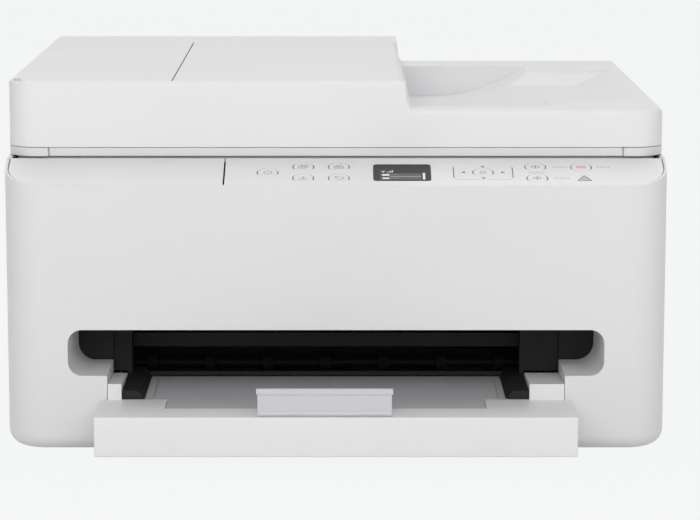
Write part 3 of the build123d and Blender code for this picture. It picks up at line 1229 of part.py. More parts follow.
def scanner_stay():
    """The stay that folds out as the scanner unit is lifted, and holds it open."""
    x0, x1 = STAY_X - STAY_T / 2, STAY_X + STAY_T / 2
    tip_y = STAY_Y + STAY_L
    stay = block(x0, x1, STAY_Y, tip_y, STAY_Z - STAY_W / 2, STAY_Z + STAY_W / 2)
    stay += rod_x(x0, x1, STAY_Y, STAY_Z, STAY_EYE_R) + rod_x(x0, x1, tip_y, STAY_Z, STAY_TIP_R)
    return stay - rod_x(x0 - 1, x1 + 1, STAY_Y, STAY_Z, PIN_R + RUNNING)


# Document cover and feeder
def cover_outline():
    """The cover seen from the front: high on the left, a step, and low on the right."""
    foot = (STEP_X + STEP_LEAN, COVER_LOW_Z)
    left, right = -HALF_W - 1, HALF_W + 1
    low = [foot, (right, COVER_LOW_Z), (right, COVER_Z0), (left, COVER_Z0)]
    outline = polygon(*low, (left, COVER_Z1), (STEP_X, COVER_Z1))
    return fillet(outline.vertices().sort_by_distance(foot)[0], STEP_FOOT_R)


def cover_block():
    """The cover as a full block, with its rounded corners and edges and the step on top."""
    body = raised(cover_plan(0), COVER_Z0, COVER_Z1 + 1) & along_y(cover_outline(), 0, CASE_D + 1)
    wall = body.faces().filter_by(Plane.XZ).sort_by(Axis.Y)[0]
    top = [e for e in wall.edges().filter_by(Axis.X) if e.center().Z > COVER_Z0 + 1]
    body = fillet(top, COVER_EDGE_R)
    x0, x1 = -HALF_W - 1, HALF_W + 1
    low_edge = block(x0, x1, COVER_PIVOT_Y, CASE_D + 1, COVER_Z0 - 1, COVER_PIVOT_Z)
    low_edge -= rod_x(x0, x1, COVER_PIVOT_Y, COVER_PIVOT_Z, COVER_PIVOT_R)
    return body - low_edge - back_rounding(x0, x1, COVER_Z1) - back_rounding(STEP_X, x1, COVER_LOW_Z)


def back_rounding(x0, x1, top_z):
    """What is taken off the cover to round its upper back edge, from x0 to x1."""
    y, z = CASE_D - COVER_CREST_R, top_z - COVER_CREST_R
    return block(x0, x1, y, CASE_D + 1, z, COVER_Z1 + 1) - rod_x(x0, x1, y, z, COVER_CREST_R)


def ramp_x(z):
    """Where the ramp of the recess reaches a height."""
    rise = z - RECESS_FLOOR_Z
    return RECESS_FLAT_X + math.sqrt(rise * (2 * RECESS_RAMP_R - rise))


def recess():
    """The place where scanned sheets land: a flat floor, then a ramp that curves up to the right."""
    floor_z, top_z = RECESS_FLOOR_Z, COVER_LOW_Z
    r = RECESS_RAMP_R
    x0, x1, wall_x = STEP_X - 2, ramp_x(top_z), STEP_X + EXIT_WALL
    turn = math.asin((x1 - RECESS_FLAT_X) / r) / 2
    mid = (RECESS_FLAT_X + r * math.sin(turn), floor_z + r - r * math.cos(turn))
    floor = Line((x0, floor_z), (RECESS_FLAT_X, floor_z))
    ramp = ThreePointArc((RECESS_FLAT_X, floor_z), mid, (x1, top_z))
    rest = Polyline((x1, top_z), (x1, top_z + 1), (wall_x, top_z + 1), (wall_x, CHANNEL_Z1))
    close = Polyline((wall_x, CHANNEL_Z1), (x0, CHANNEL_Z1), (x0, floor_z))
    return along_y(make_face(floor + ramp + rest + close), RECESS_Y0, RECESS_Y1)


def dish():
    """The shallow dish with sloping sides at the right end of the recess. It starts on the ramp."""
    bed_z = COVER_LOW_Z - DISH_DEPTH
    x0 = ramp_x(bed_z)
    length, depth = DISH_X1 - x0, DISH_Y1 - DISH_Y0
    middle_y = (DISH_Y0 + DISH_Y1) / 2
    mouth = Pos(x0 + length / 2, middle_y) * Rectangle(length, depth)
    length -= DISH_END_SLOPE
    bed = Pos(x0 + length / 2, middle_y) * Rectangle(length, depth - 2 * DISH_SLOPE)
    return loft([Pos(0, 0, bed_z) * bed, Pos(0, 0, COVER_LOW_Z + RUNNING) * mouth])


def adf_housing():
    """The outer case of the document cover, with the feeder's bay, the deck and the recess."""
    body = cover_block()
    wall = COVER_WALL
    top = COVER_Z1 + 1
    bay = block(-HALF_W + wall, BAY_X1, PANEL_RUN + wall, BAY_Y1, BAY_Z0, top)
    body -= bay & raised(cover_plan(BAY_CORNER_WALL), BAY_Z0, top)
    body -= block(BAY_X1 - 1, STEP_X + wall, LID_Y0, TOP_SEAM_Y, DECK_Z, top)
    body -= block(BAY_X1 - 1, STEP_X - wall, RECESS_Y0, CHANNEL_Y1, BAY_Z0, CHANNEL_Z1)
    x0, x1 = STEP_X - 2 * wall, STEP_X + BARREL_WALL
    body += block(x0, x1, LID_Y0 - 1, TOP_SEAM_Y + 1, DECK_Z - 1, BARREL_SEAT_Z)
    body -= recess() + dish()
    body += block(STEP_X - wall, STEP_X + EXIT_WALL, RECESS_Y0 - 1, RECESS_Y1 + 1, EXIT_Z1, CHANNEL_Z1 + 1)
    body -= lid_cuts()
    body -= under_pockets()
    rib_x0 = FEED_PIVOT_X + FEED_BARREL_R + 1
    for y in RIB_Y:
        body += block(rib_x0, BAY_X1 + 1, y, y + RIB_T, BAY_Z0 - 1, RIB_Z1)
    for x, z, r in feeder_shafts():
        body -= rod_y(x, RIB_Y[0] - 1, RIB_Y[1] + RIB_T + 1, z, r + RUNNING)
    return body - cover_ear_pockets()


def lid_cuts():
    """Room for the two upper lids and their hinge barrels."""
    low_z, high_z = COVER_Z1 - FEED_LID_T - SEAM, COVER_Z1 + 1
    top = raised(feeder_plan(LID_FIT / 2), low_z, high_z)
    top += block(FEED_SEAM_X - 1, TRAY_PIVOT_X, LID_Y0, TOP_SEAM_Y, low_z, high_z)
    r = FEED_BARREL_R + LID_FIT
    y0, y1 = FEED_WRAP_Y - LID_FIT / 2, TOP_SEAM_Y
    side = block(-HALF_W - 1, -HALF_W + COVER_WALL + 1, y0, y1, FEED_PIVOT_Z - r, high_z)
    side += rod_y(FEED_PIVOT_X, y0, y1, FEED_PIVOT_Z, r)
    reach = LID_PIN_OUT + PIN_END
    side += rod_y(FEED_PIVOT_X, y0 - reach, y1 + reach, FEED_PIVOT_Z, LID_PIN_R + RUNNING)
    barrel = rod_y(TRAY_PIVOT_X, LID_Y0, TOP_SEAM_Y, TRAY_PIVOT_Z, TRAY_BARREL_R + LID_FIT)
    barrel += block(TRAY_PIVOT_X, STEP_X + MORE, LID_Y0, TOP_SEAM_Y, BARREL_SEAT_Z, high_z)
    reach = TRAY_PIN_OUT + PIN_END
    barrel += rod_y(TRAY_PIVOT_X, LID_Y0 - reach, TOP_SEAM_Y + reach, TRAY_PIVOT_Z, LID_PIN_R + RUNNING)
    return top + side + barrel


def feeder_plan(gap):
    """The plan of the feeder lid: it follows the front corner and reaches the left side."""
    x0, x1 = -HALF_W + FEED_CORNER_IN - gap, FEED_SEAM_X + gap
    y1 = TOP_SEAM_Y + gap - LID_FIT / 2
    keep = Pos((x0 + x1) / 2, y1 / 2) * Rectangle(x1 - x0, y1)
    y0 = FEED_WRAP_Y - gap
    x0 = -HALF_W - max(gap, 0)
    wrap = Pos((x0 + x1) / 2, (y0 + y1) / 2) * Rectangle(x1 - x0, y1 - y0)
    return (cover_plan(COVER_EDGE_R - gap) & keep) + wrap


def under_pockets():
    """Hollows in the underside, which leave walls of an even thickness."""
    z0 = COVER_Z0 - 1
    wall = COVER_WALL
    low = COVER_LOW_Z - wall
    back = COVER_PIVOT_Y - COVER_EAR_R - MORE
    left, right = STEP_X - wall, STEP_X + wall + 1
    out = block(-HALF_W + POCKET_IN, left, RECESS_Y1 + wall + 1, back, z0, COVER_Z1 - wall)
    out += block(right, HALF_W - POCKET_IN, RECESS_Y1 + wall, back, z0, low)
    out += block(right, HALF_W - POCKET_IN, PANEL_RUN + POCKET_FRONT, RECESS_Y0 - wall, z0, low)
    x0 = ramp_x(COVER_LOW_Z - DISH_DEPTH) + POCKET_IN
    out += block(x0, HALF_W - wall, RECESS_Y0 + 2, RECESS_Y1 - 2, z0, low - DISH_DEPTH)
    return out


def cover_ear_pockets():
    """Pockets and pin holes for the hinge ears of the scanner frame."""
    out = []
    y0 = COVER_PIVOT_Y - 2 * COVER_EAR_R
    for side in (-1, 1):
        x0, x1 = side * COVER_EAR_X - EAR_T / 2, side * COVER_EAR_X + EAR_T / 2
        out.append(block(x0 - SEAM, x1 + SEAM, y0, CASE_D + 1, COVER_Z0 - 1, COVER_PIVOT_Z + COVER_EAR_R + 1))
        reach = PIN_OUT + PIN_END
        out.append(rod_x(x0 - reach, x1 + reach, COVER_PIVOT_Y, COVER_PIVOT_Z, PIN_R + RUNNING))
    return Compound(out)


def cover_base():
    """The flat plate under the cover, inside the scanner's well."""
    gap = BASE_IN
    x0, x1, y0, y1 = WELL_X0 + gap, WELL_X1 - gap, WELL_Y0 + gap, WELL_Y1 - gap
    return block(x0, x1, y0, y1, COVER_Z0 - BASE_T, COVER_Z0)


def document_pad():
    """The soft pad that presses a page on the glass."""
    gap = 2 * BASE_IN
    z1 = COVER_Z0 - BASE_T
    pad = block(WELL_X0 + PAD_LEFT, WELL_X1 - gap, WELL_Y0 + gap, WELL_Y1 - gap, z1 - PAD_T, z1)
    return fillet(pad.edges().filter_by(Axis.Z), PAD_CORNER_R)


def document_tray():
    """The plate on top. It swings over to the right and carries the pages to be fed."""
    y0, y1 = LID_Y0 + LID_FIT, TOP_SEAM_Y - LID_FIT
    x0 = FEED_SEAM_X - LID_FIT / 2 + LID_JOINT
    tray = block(x0, TRAY_PIVOT_X, y0, y1, COVER_Z1 - TRAY_T + LOOSE, COVER_Z1)
    tray += rod_y(TRAY_PIVOT_X, y0, y1, TRAY_PIVOT_Z, TRAY_BARREL_R)
    tray += rod_y(TRAY_PIVOT_X, y0 - TRAY_PIN_OUT, y1 + TRAY_PIN_OUT, TRAY_PIVOT_Z, LID_PIN_R)
    width, depth, height = TRAY_NOTCH
    x = TRAY_NOTCH_X
    return tray - block(x - width / 2, x + width / 2, y0 - 1, y0 + depth, COVER_Z1 - height, COVER_Z1 + 1)


def feeder_cover():
    """The lid over the feeder. It wraps over the left side and swings up to the left."""
    gap = LID_FIT / 2
    lid = raised(feeder_plan(-gap), COVER_Z1 - FEED_LID_T, COVER_Z1)
    y0, y1 = FEED_WRAP_Y + gap, TOP_SEAM_Y - LID_FIT
    lid += block(-HALF_W, -HALF_W + COVER_EDGE_R, y0, y1, FEED_PIVOT_Z, COVER_Z1 - 1)
    edge = lid.edges().filter_by(Axis.Y).filter_by(
        lambda e: e.center().X < -HALF_W + 0.1 and e.center().Z > COVER_Z1 - 0.1
    )
    lid = fillet(edge, COVER_EDGE_R)
    lid += rod_y(FEED_PIVOT_X, y0, y1, FEED_PIVOT_Z, FEED_BARREL_R)
    return lid + rod_y(FEED_PIVOT_X, y0 - LID_PIN_OUT, y1 + LID_PIN_OUT, FEED_PIVOT_Z, LID_PIN_R)


def feeder_shafts():
    return [(d["x"], d["z"], d["shaft"]) for d in (FEEDER, PICKER, EXITER)]


def feeder_roller(d, width, spots):
    """A roller of the document feeder, between the two ribs of the bay."""
    shaft = rod_y(d["x"], RIB_Y[0] - PIN_END, RIB_Y[1] + RIB_T + PIN_END, d["z"], d["shaft"])
    for off in spots:
        y = PAGE_MID_Y + off
        shaft += rod_y(d["x"], y - width / 2, y + width / 2, d["z"], d["r"])
    return shaft


def document_guide(side):
    """A guide on the deck, which slides to the width of the pages."""
    y = PAGE_MID_Y + side * (PAGE_W / 2 + 1)
    z0 = DECK_Z + LOOSE
    x0, x1 = PAGE_GUIDE_X
    y0, y1 = sorted((y, y + side * PAGE_GUIDE_T))
    wall = block(x0, x1, y0, y1, z0, z0 + PAGE_GUIDE_H)
    y0, y1 = sorted((y, y - side * PAGE_FOOT_D))
    middle, half = (x0 + x1) / 2, PAGE_FOOT_W / 2
    return wall + block(middle - half, middle + half, y0, y1, z0, z0 + PAGE_FOOT_T)


def make_all():
    os.makedirs("parts", exist_ok=True)
    write("outer_shell", casing())
    write("case_screws", case_screws())
    write("rubber_feet", rubber_feet())
    write("left_panel", left_panel())
    write("control_panel", control_panel())
    write("control_board", control_board())
    write("display_window", display_window())
    write("alarm_lens", alarm_lens())
    names = ["power_button"] + [f"mode_button_{n + 1}" for n in range(len(MODE_KEYS))]
    names += ["black_start_button", "colour_start_button", "stop_button"]
    for name, spot in zip(names, key_spots()):
        write(name, round_key(spot, -PANEL_T - LOOSE))
    write("ok_button", round_key(NAV_MID, OK_FLANGE_TOP))
    write("nav_pad", nav_pad())
    write("nav_gimbal", nav_gimbal())
    write("base_frame", base_frame())
    write("output_frame", output_frame())
    write("engine_frame", engine_frame())
    write("platen", platen())
    write("feed_roller", feed_roller())
    write("eject_roller", eject_roller())
    write("drive_motors", drive_motors())
    write("motor_pulley", motor_pulley())
    write("timing_belt", timing_belt())
    write("print_carriage", carriage())
    write("ink_cartridges", ink_cartridges())
    write("cap_unit", cap_unit())
    write("pickup_arm", pickup_arm())
    write("pickup_roller", pickup_roller())
    write("main_board", main_board())
    write("power_supply", power_supply())
    write("power_inlet", power_inlet())
    write("signal_ports", signal_ports())
    write("jam_cover", jam_cover())
    write("cassette_tray", cassette_tray())
    write("cassette_lid", cassette_lid())
    write("stopper_flap", stopper_flap())
    write("paper_guide_left", side_guide(TRAY_IN_X0 + PAPER_SLACK, -1))
    write("paper_guide_right", side_guide(TRAY_IN_X1 - PAPER_SLACK, 1))
    write("paper_end_guide", end_guide())
    write("scanner_frame", scanner_frame())
    write("scanner_tub", scanner_tub())
    write("cis_rod", cis_rod())
    write("cis_bar", cis_bar())
    write("scanner_glass", scanner_glass())
    write("scanner_stay", scanner_stay())
    write("adf_housing", adf_housing())
    write("cover_base", cover_base())
    write("document_pad", document_pad())
    write("document_tray", document_tray())
    write("feeder_cover", feeder_cover())
    write("adf_feed_roller", feeder_roller(FEEDER, 26.0, (-55.0, 0, 55.0)))
    write("adf_pickup_roller", feeder_roller(PICKER, 30.0, (0,)))
    write("adf_exit_roller", feeder_roller(EXITER, 18.0, (-75.0, 0, 75.0)))
    write("document_guide_front", document_guide(-1))
    write("document_guide_rear", document_guide(1))


make_all()
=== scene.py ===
# %% [markdown]
# A multifunction printer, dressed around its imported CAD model. The CAD nodes already give every
# piece its shape, place and motion. What is left for Blender is the camera, the light, the
# finishes, and the prints on the control panel, which are too thin for a CAD solid. Blender works
# in metres, so a size in millimetres is written as a number times MM.

# %% The frame
import json
import math
from collections import namedtuple
import bpy
import bmesh
from mathutils import Matrix, Vector


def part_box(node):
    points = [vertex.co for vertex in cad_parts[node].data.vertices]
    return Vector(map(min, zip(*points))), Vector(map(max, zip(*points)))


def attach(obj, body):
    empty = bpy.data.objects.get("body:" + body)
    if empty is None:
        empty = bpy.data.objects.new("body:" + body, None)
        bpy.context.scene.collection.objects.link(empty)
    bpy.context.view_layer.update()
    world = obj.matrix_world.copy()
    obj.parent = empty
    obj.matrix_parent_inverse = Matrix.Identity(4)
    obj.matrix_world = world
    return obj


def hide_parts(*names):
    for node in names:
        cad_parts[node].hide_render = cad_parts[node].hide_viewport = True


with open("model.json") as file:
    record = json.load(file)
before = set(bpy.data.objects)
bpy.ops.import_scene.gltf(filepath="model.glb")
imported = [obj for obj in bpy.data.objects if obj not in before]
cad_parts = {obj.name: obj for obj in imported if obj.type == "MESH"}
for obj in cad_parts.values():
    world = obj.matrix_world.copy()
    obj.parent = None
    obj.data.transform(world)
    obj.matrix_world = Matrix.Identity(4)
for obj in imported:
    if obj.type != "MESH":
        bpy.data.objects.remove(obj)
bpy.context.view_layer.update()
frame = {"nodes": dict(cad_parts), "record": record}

MM = 0.001
scene = bpy.context.scene
nodes = frame["nodes"]
record = frame["record"]
body_of = {node: body for body, members in record["behaviour"]["bodies"].items() for node in members}
slot_of = {entry["node"]: entry["material_slot"] for entry in record["subparts"]}

# %% [markdown]
# The printer is seen from straight in front through a long lens, from a little above its cover, so
# its sides run almost parallel. A camera can be placed by eye and corrected by looking. Here its
# height, tilt and distance were solved from the casing's edges instead, because then each edge of
# the render falls where it should. The picture is shifted a little, because the printer stands off
# its middle.

# %% Camera
FRONT_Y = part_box("outer_shell")[0][1]
CAMERA_AWAY = 1577.2 * MM  # in front of the casing
CAMERA_UP = 366.7 * MM
CAMERA_DOWN = math.radians(9.215)
SENSOR_MM = 36
LENS_MM = 147.1
PICTURE_SHIFT = 0.02

bpy.ops.object.select_all(action="DESELECT")
bpy.ops.object.camera_add(
    location=(0, FRONT_Y - CAMERA_AWAY, CAMERA_UP), rotation=(math.pi / 2 - CAMERA_DOWN, 0, 0)
)
camera = bpy.context.object
camera.name = "photo_camera"
camera.data.sensor_width = SENSOR_MM
camera.data.lens = LENS_MM
camera.data.shift_x = PICTURE_SHIFT
bpy.context.scene.camera = camera
print("camera", [round(v, 3) for v in camera.location])

# %% [markdown]
# The studio is white paper under an even sky. Lamps strong enough to make the paper white would
# bleach the printer too, so the paper's tone doesn't come from them. A Light Path node tells which
# rays the camera sees, straight, in gloss or through glass, and these rays get one flat tone. All
# others carry the sky's own weak light. The first two helpers also serve the finishes.

# %% Sky
PAPER_TONE = (0.915, 0.935, 0.925)
SKY_WHITE = (1, 1, 1)
SKY_STRENGTH = 0.27
scene.view_settings.view_transform = "Standard"


def feed(tree, source, socket):
    """Links another node's output to a socket, or sets the socket to a number or an opaque colour."""
    if isinstance(source, bpy.types.NodeSocket):
        tree.links.new(source, socket)
    else:
        socket.default_value = (*source, 1) if isinstance(source, tuple) else source


def maths(tree, operation, first, second):
    """The result of one sum or test."""
    step = tree.nodes.new("ShaderNodeMath")
    step.operation = operation
    feed(tree, first, step.inputs[0])
    feed(tree, second, step.inputs[1])
    return step.outputs[0]


def seen_directly(tree):
    """1 for a ray from the camera, off gloss or through glass, and 0 for one that carries light."""
    ray = tree.nodes.new("ShaderNodeLightPath").outputs
    straight_or_gloss = maths(tree, "MAXIMUM", ray["Is Camera Ray"], ray["Is Glossy Ray"])
    return maths(tree, "MAXIMUM", straight_or_gloss, ray["Is Transmission Ray"])


def one_or_other(tree, factor, at_zero, at_one):
    """A shader that goes from one to another as the factor goes from 0 to 1."""
    mix = tree.nodes.new("ShaderNodeMixShader")
    tree.links.new(factor, mix.inputs["Fac"])
    tree.links.new(at_zero.outputs[0], mix.inputs[1])
    tree.links.new(at_one.outputs[0], mix.inputs[2])
    return mix.outputs[0]


world = bpy.data.worlds.new("even_sky")
scene.world = world
world.use_nodes = True
sky = world.node_tree
sky.nodes.clear()
sky_out = sky.nodes.new("ShaderNodeOutputWorld")
sky_light = sky.nodes.new("ShaderNodeBackground")
feed(sky, SKY_WHITE, sky_light.inputs["Color"])
feed(sky, SKY_STRENGTH, sky_light.inputs["Strength"])
sky_tone = sky.nodes.new("ShaderNodeBackground")
feed(sky, PAPER_TONE, sky_tone.inputs["Color"])
sky.links.new(one_or_other(sky, seen_directly(sky), sky_light, sky_tone), sky_out.inputs["Surface"])
print("sky light at", SKY_STRENGTH, "and tone", PAPER_TONE)

# %% [markdown]
# The floor is one plane that runs out of sight. For the camera it is nearly all the sky's flat
# tone, so no horizon shows, and the small rest is matt paper, which catches the printer's soft
# shadow. A sheet that curves up behind the object does this in a real studio, but the flat tone
# makes the curve needless here.

# %% Floor
FLOOR_SIDE = 24
FLOOR_BACK = 4  # from the printer to the middle of the plane
FLOOR_FLAT_SHARE = 0.97
PAPER_WHITE = (0.86, 0.87, 0.87)


def new_material(name):
    """An empty material, with its node tree and its output."""
    material = bpy.data.materials.new(name)
    material.use_nodes = True
    tree = material.node_tree
    tree.nodes.clear()
    return material, tree, tree.nodes.new("ShaderNodeOutputMaterial")


bpy.ops.object.select_all(action="DESELECT")
bpy.ops.mesh.primitive_plane_add(size=FLOOR_SIDE, location=(0, FLOOR_BACK, 0))
floor = bpy.context.object
floor.name = "floor"
paper, tree, out = new_material("studio_paper")
matt = tree.nodes.new("ShaderNodeBsdfDiffuse")
feed(tree, PAPER_WHITE, matt.inputs["Color"])
tone = tree.nodes.new("ShaderNodeEmission")
feed(tree, PAPER_TONE, tone.inputs["Color"])
flat_share = maths(tree, "MULTIPLY", seen_directly(tree), FLOOR_FLAT_SHARE)
tree.links.new(one_or_other(tree, flat_share, matt, tone), out.inputs["Surface"])
floor.data.materials.append(paper)
print("floor", FLOOR_SIDE, "m square")

# %% [markdown]
# The light is soft, from above and from both sides of the camera. A sun lamp would throw hard
# shadows, and an even sky alone hardly any, so large area lamps do most of the work. One hangs
# above and behind, so the cover and the casing shade what lies in front of them. A large pair
# beside the camera lights the upright faces, and a faint pair near the casing lifts its round ends.

# %% Lamps
def soft_box(name, place, aim, size, watts):
    bpy.ops.object.light_add(type="AREA", location=place)
    lamp = bpy.context.object
    lamp.name = name
    lamp.data.shape = "RECTANGLE"
    lamp.data.size, lamp.data.size_y = size
    lamp.data.energy = watts
    lamp.rotation_euler = (Vector(aim) - Vector(place)).to_track_quat("-Z", "Y").to_euler()


for side, name in ((-1, "left"), (1, "right")):
    aim = (side * 0.1, FRONT_Y, 0.12)
    far_place = (side * 0.50, FRONT_Y - 1.6, 0.95)
    near_place = (side * 0.60, FRONT_Y - 0.42, 0.42)
    soft_box(f"{name}_front_box", far_place, aim, size=(0.9, 0.8), watts=7.8)
    soft_box(f"{name}_side_box", near_place, aim, size=(0.4, 0.6), watts=0.8)
soft_box("top_box", place=(0, 0.60, 1.7), aim=(0, 0.05, 0.15), size=(1.8, 1.2), watts=12.5)
print("five soft boxes")

# %% [markdown]
# Every finish starts from Blender's Principled shader. With one colour and one gloss it looks
# drawn, because no real surface is that even. So a noise is spread over a small range, and varies
# the colour, the gloss or the relief a little. An image could do this too, but a noise needs no
# file and shows no seam, and it is read at the piece's own coordinates, so it moves along with the
# piece.

# %% Tools for finishes
NOISE_LOW, NOISE_HIGH = 0.3, 0.7  # nearly all values of a noise lie between these
NOISE_DETAIL = 2
RELIEF_DEPTH = 0.02 * MM


def surface(tree, out, colour, roughness, metallic=0.0, level=0.5):
    """The shader of a finish. Its level says how strongly light glances off it."""
    shader = tree.nodes.new("ShaderNodeBsdfPrincipled")
    feed(tree, colour, shader.inputs["Base Color"])
    feed(tree, roughness, shader.inputs["Roughness"])
    feed(tree, metallic, shader.inputs["Metallic"])
    feed(tree, level, shader.inputs["Specular IOR Level"])
    tree.links.new(shader.outputs[0], out.inputs["Surface"])
    return shader


def own_coordinates(tree):
    return tree.nodes.new("ShaderNodeTexCoord").outputs["Object"]


def noise(tree, scale):
    grain = tree.nodes.new("ShaderNodeTexNoise")
    feed(tree, scale, grain.inputs["Scale"])
    feed(tree, NOISE_DETAIL, grain.inputs["Detail"])
    tree.links.new(own_coordinates(tree), grain.inputs["Vector"])
    return grain.outputs["Fac"]


def spread(tree, source, low, high, source_low=NOISE_LOW, source_high=NOISE_HIGH):
    """A value, moved from the range that it has to the range between low and high."""
    span = tree.nodes.new("ShaderNodeMapRange")
    feed(tree, source_low, span.inputs["From Min"])
    feed(tree, source_high, span.inputs["From Max"])
    feed(tree, low, span.inputs["To Min"])
    feed(tree, high, span.inputs["To Max"])
    tree.links.new(source, span.inputs["Value"])
    return span.outputs["Result"]


def tint(tree, factor, first, second):
    """A colour that goes from the first to the second as the factor goes from 0 to 1."""
    mix = tree.nodes.new("ShaderNodeMix")
    mix.data_type = "RGBA"
    feed(tree, factor, mix.inputs[0])
    feed(tree, first, mix.inputs[6])
    feed(tree, second, mix.inputs[7])
    return mix.outputs[2]


def shaded(tree, factor, colour, share):
    """A colour that falls to a share of itself as the factor goes from 0 to 1."""
    return tint(tree, factor, colour, tuple(share * v for v in colour))


def relief(tree, shader, source, strength, depth=RELIEF_DEPTH):
    bump = tree.nodes.new("ShaderNodeBump")
    feed(tree, strength, bump.inputs["Strength"])
    feed(tree, depth, bump.inputs["Distance"])
    tree.links.new(source, bump.inputs["Height"])
    tree.links.new(bump.outputs[0], shader.inputs["Normal"])


print("relief", RELIEF_DEPTH / MM, "mm deep")

# %% [markdown]
# The casing and most other pieces are moulded plastic. The mould gives them a very fine matt
# texture, so a highlight on them is broad and soft. One function makes this finish for each
# plastic: a fine noise is the texture, a coarse one clouds the colour a little, and one between
# them varies the gloss. Real modelled grain would take millions of faces and show no more.

# %% Plastics
CLOUD_SCALE = 14
GLOSS_SCALE = 60
GLOSS_CHANGE = 0.03
WHITE = (0.800, 0.790, 0.801)
TANK_BLACK = (0.03, 0.03, 0.033)


def moulded(name, colour, roughness, grain_mm=0.5, strength=0.12, change=0.015, level=0.5):
    """A plastic. Its texture has a grain and a strength, and its clouds are darker by the change."""
    material, tree, out = new_material(name)
    shader = surface(tree, out, colour, roughness, level=level)
    cloud = spread(tree, noise(tree, CLOUD_SCALE), 0, 1)
    tree.links.new(shaded(tree, cloud, colour, 1 - change), shader.inputs["Base Color"])
    gloss = spread(tree, noise(tree, GLOSS_SCALE), roughness - GLOSS_CHANGE, roughness + GLOSS_CHANGE)
    tree.links.new(gloss, shader.inputs["Roughness"])
    relief(tree, shader, noise(tree, 1 / (grain_mm * MM)), strength)
    return material


finishes = {
    "white_plastic": moulded("white_moulding", WHITE, 0.42),
    "key_plastic": moulded("key_moulding", (0.78, 0.78, 0.79), 0.38, grain_mm=0.35),
    "dark_plastic": moulded(
        "black_moulding", (0.018, 0.0175, 0.019), 0.5, grain_mm=0.4, strength=0.2, change=0.2, level=0.2
    ),
    "grey_plastic": moulded("grey_moulding", (0.50, 0.495, 0.51), 0.45),
    "ink_tank": moulded("tank_moulding", TANK_BLACK, 0.25, grain_mm=0.6, strength=0.05, change=0.1),
}
print(len(finishes), "plastics")

# %% [markdown]
# The engine frame is steel sheet plated with zinc, and so are the screws, the rods and the cans of
# the motors. Zinc sets in small flakes that each shine a little differently. A Voronoi pattern has
# cells of that kind, so it drives the colour and the gloss here, where a noise would only give
# clouds. The motor's pulley is brass, and small enough for the same function.

# %% Metals
FLAKE_SCALE = 160
FLAKE_SHARE = 0.88  # how bright the darkest flakes are
SHINIER, DULLER = 0.06, 0.08  # how far the flakes' roughness goes down and up
BRUSH_SCALE = 900
ZINC = (0.56, 0.57, 0.58)
ZINC_ROUGHNESS = 0.34


def plated(name, colour, roughness):
    material, tree, out = new_material(name)
    shader = surface(tree, out, colour, roughness, metallic=1.0)
    voronoi = tree.nodes.new("ShaderNodeTexVoronoi")
    feed(tree, FLAKE_SCALE, voronoi.inputs["Scale"])
    tree.links.new(own_coordinates(tree), voronoi.inputs["Vector"])
    flakes = voronoi.outputs["Distance"]
    tree.links.new(shaded(tree, flakes, colour, FLAKE_SHARE), shader.inputs["Base Color"])
    gloss = spread(tree, flakes, roughness - SHINIER, roughness + DULLER)
    tree.links.new(gloss, shader.inputs["Roughness"])
    relief(tree, shader, noise(tree, BRUSH_SCALE), strength=0.08)
    return material


finishes["steel"] = plated("zinc_sheet", ZINC, ZINC_ROUGHNESS)
finishes["brass"] = plated("turned_brass", (0.74, 0.58, 0.30), roughness=0.28)
print(len(finishes), "finishes with the two metals")

# %% [markdown]
# Rubber feet, tyres and the belt are dull and a little dusty, the display's lens is dark and
# smooth, and the alarm lamp's lens is milky. The pad under the cover has a white film over its
# foam. All four are plain surfaces with a texture of their own strength, so the function for
# plastics makes them too.

# %% Rubber, lenses and pad
RUBBER = (0.016, 0.016, 0.017)
RUBBER_ROUGHNESS = 0.68
finishes["rubber"] = moulded(
    "roller_rubber", RUBBER, RUBBER_ROUGHNESS, grain_mm=0.6, strength=0.35, change=0.3, level=0.3
)
finishes["display"] = moulded(
    "display_lens", (0.034, 0.034, 0.036), 0.2, grain_mm=0.8, strength=0.02, change=0.05, level=0.25
)
finishes["lamp_lens"] = moulded(
    "lamp_lens", (0.62, 0.60, 0.57), 0.25, grain_mm=0.6, strength=0.1, change=0.1
)
finishes["foam"] = moulded(
    "pad_film", (0.80, 0.80, 0.80), 0.75, grain_mm=0.9, strength=0.5, change=0.05
)
print(len(finishes), "finishes with rubber, lenses and pad")

# %% [markdown]
# The scanner's glass is a clear pane with a faint green cast. Documents lie on it, so it is never
# quite clean, and a noise lets its gloss vary a little. The pane is solid and light passes right
# through it, as through the real one, because a see-through film would show no thickness at the
# edges.

# %% Glass
GLASS_TINT = (0.93, 0.97, 0.96)
GLASS_IOR = 1.5
SMEAR_SCALE = 40
SMEAR_ROUGHNESS = 0.03


def clear_glass():
    material, tree, out = new_material("float_glass")
    shader = surface(tree, out, GLASS_TINT, SMEAR_ROUGHNESS)
    feed(tree, 1.0, shader.inputs["Transmission Weight"])
    feed(tree, GLASS_IOR, shader.inputs["IOR"])
    smears = spread(tree, noise(tree, SMEAR_SCALE), 0.0, SMEAR_ROUGHNESS)
    tree.links.new(smears, shader.inputs["Roughness"])
    return material


finishes["glass"] = clear_glass()
print("glass bends light by", GLASS_IOR)

# %% [markdown]
# A circuit board is covered with green lacquer, and its copper tracks show through it as paler
# lines. The tracks are too fine to model, so a brick pattern stands in for them: its joints are the
# tracks, and they stand a little proud as well.

# %% Circuit boards
LACQUER = (0.018, 0.11, 0.045)
PALER_LACQUER = (0.022, 0.14, 0.06)
COPPER_UNDER_LACQUER = (0.05, 0.22, 0.10)
TRACK_SCALE = 90
TRACK_W = 0.03  # as a share of a brick


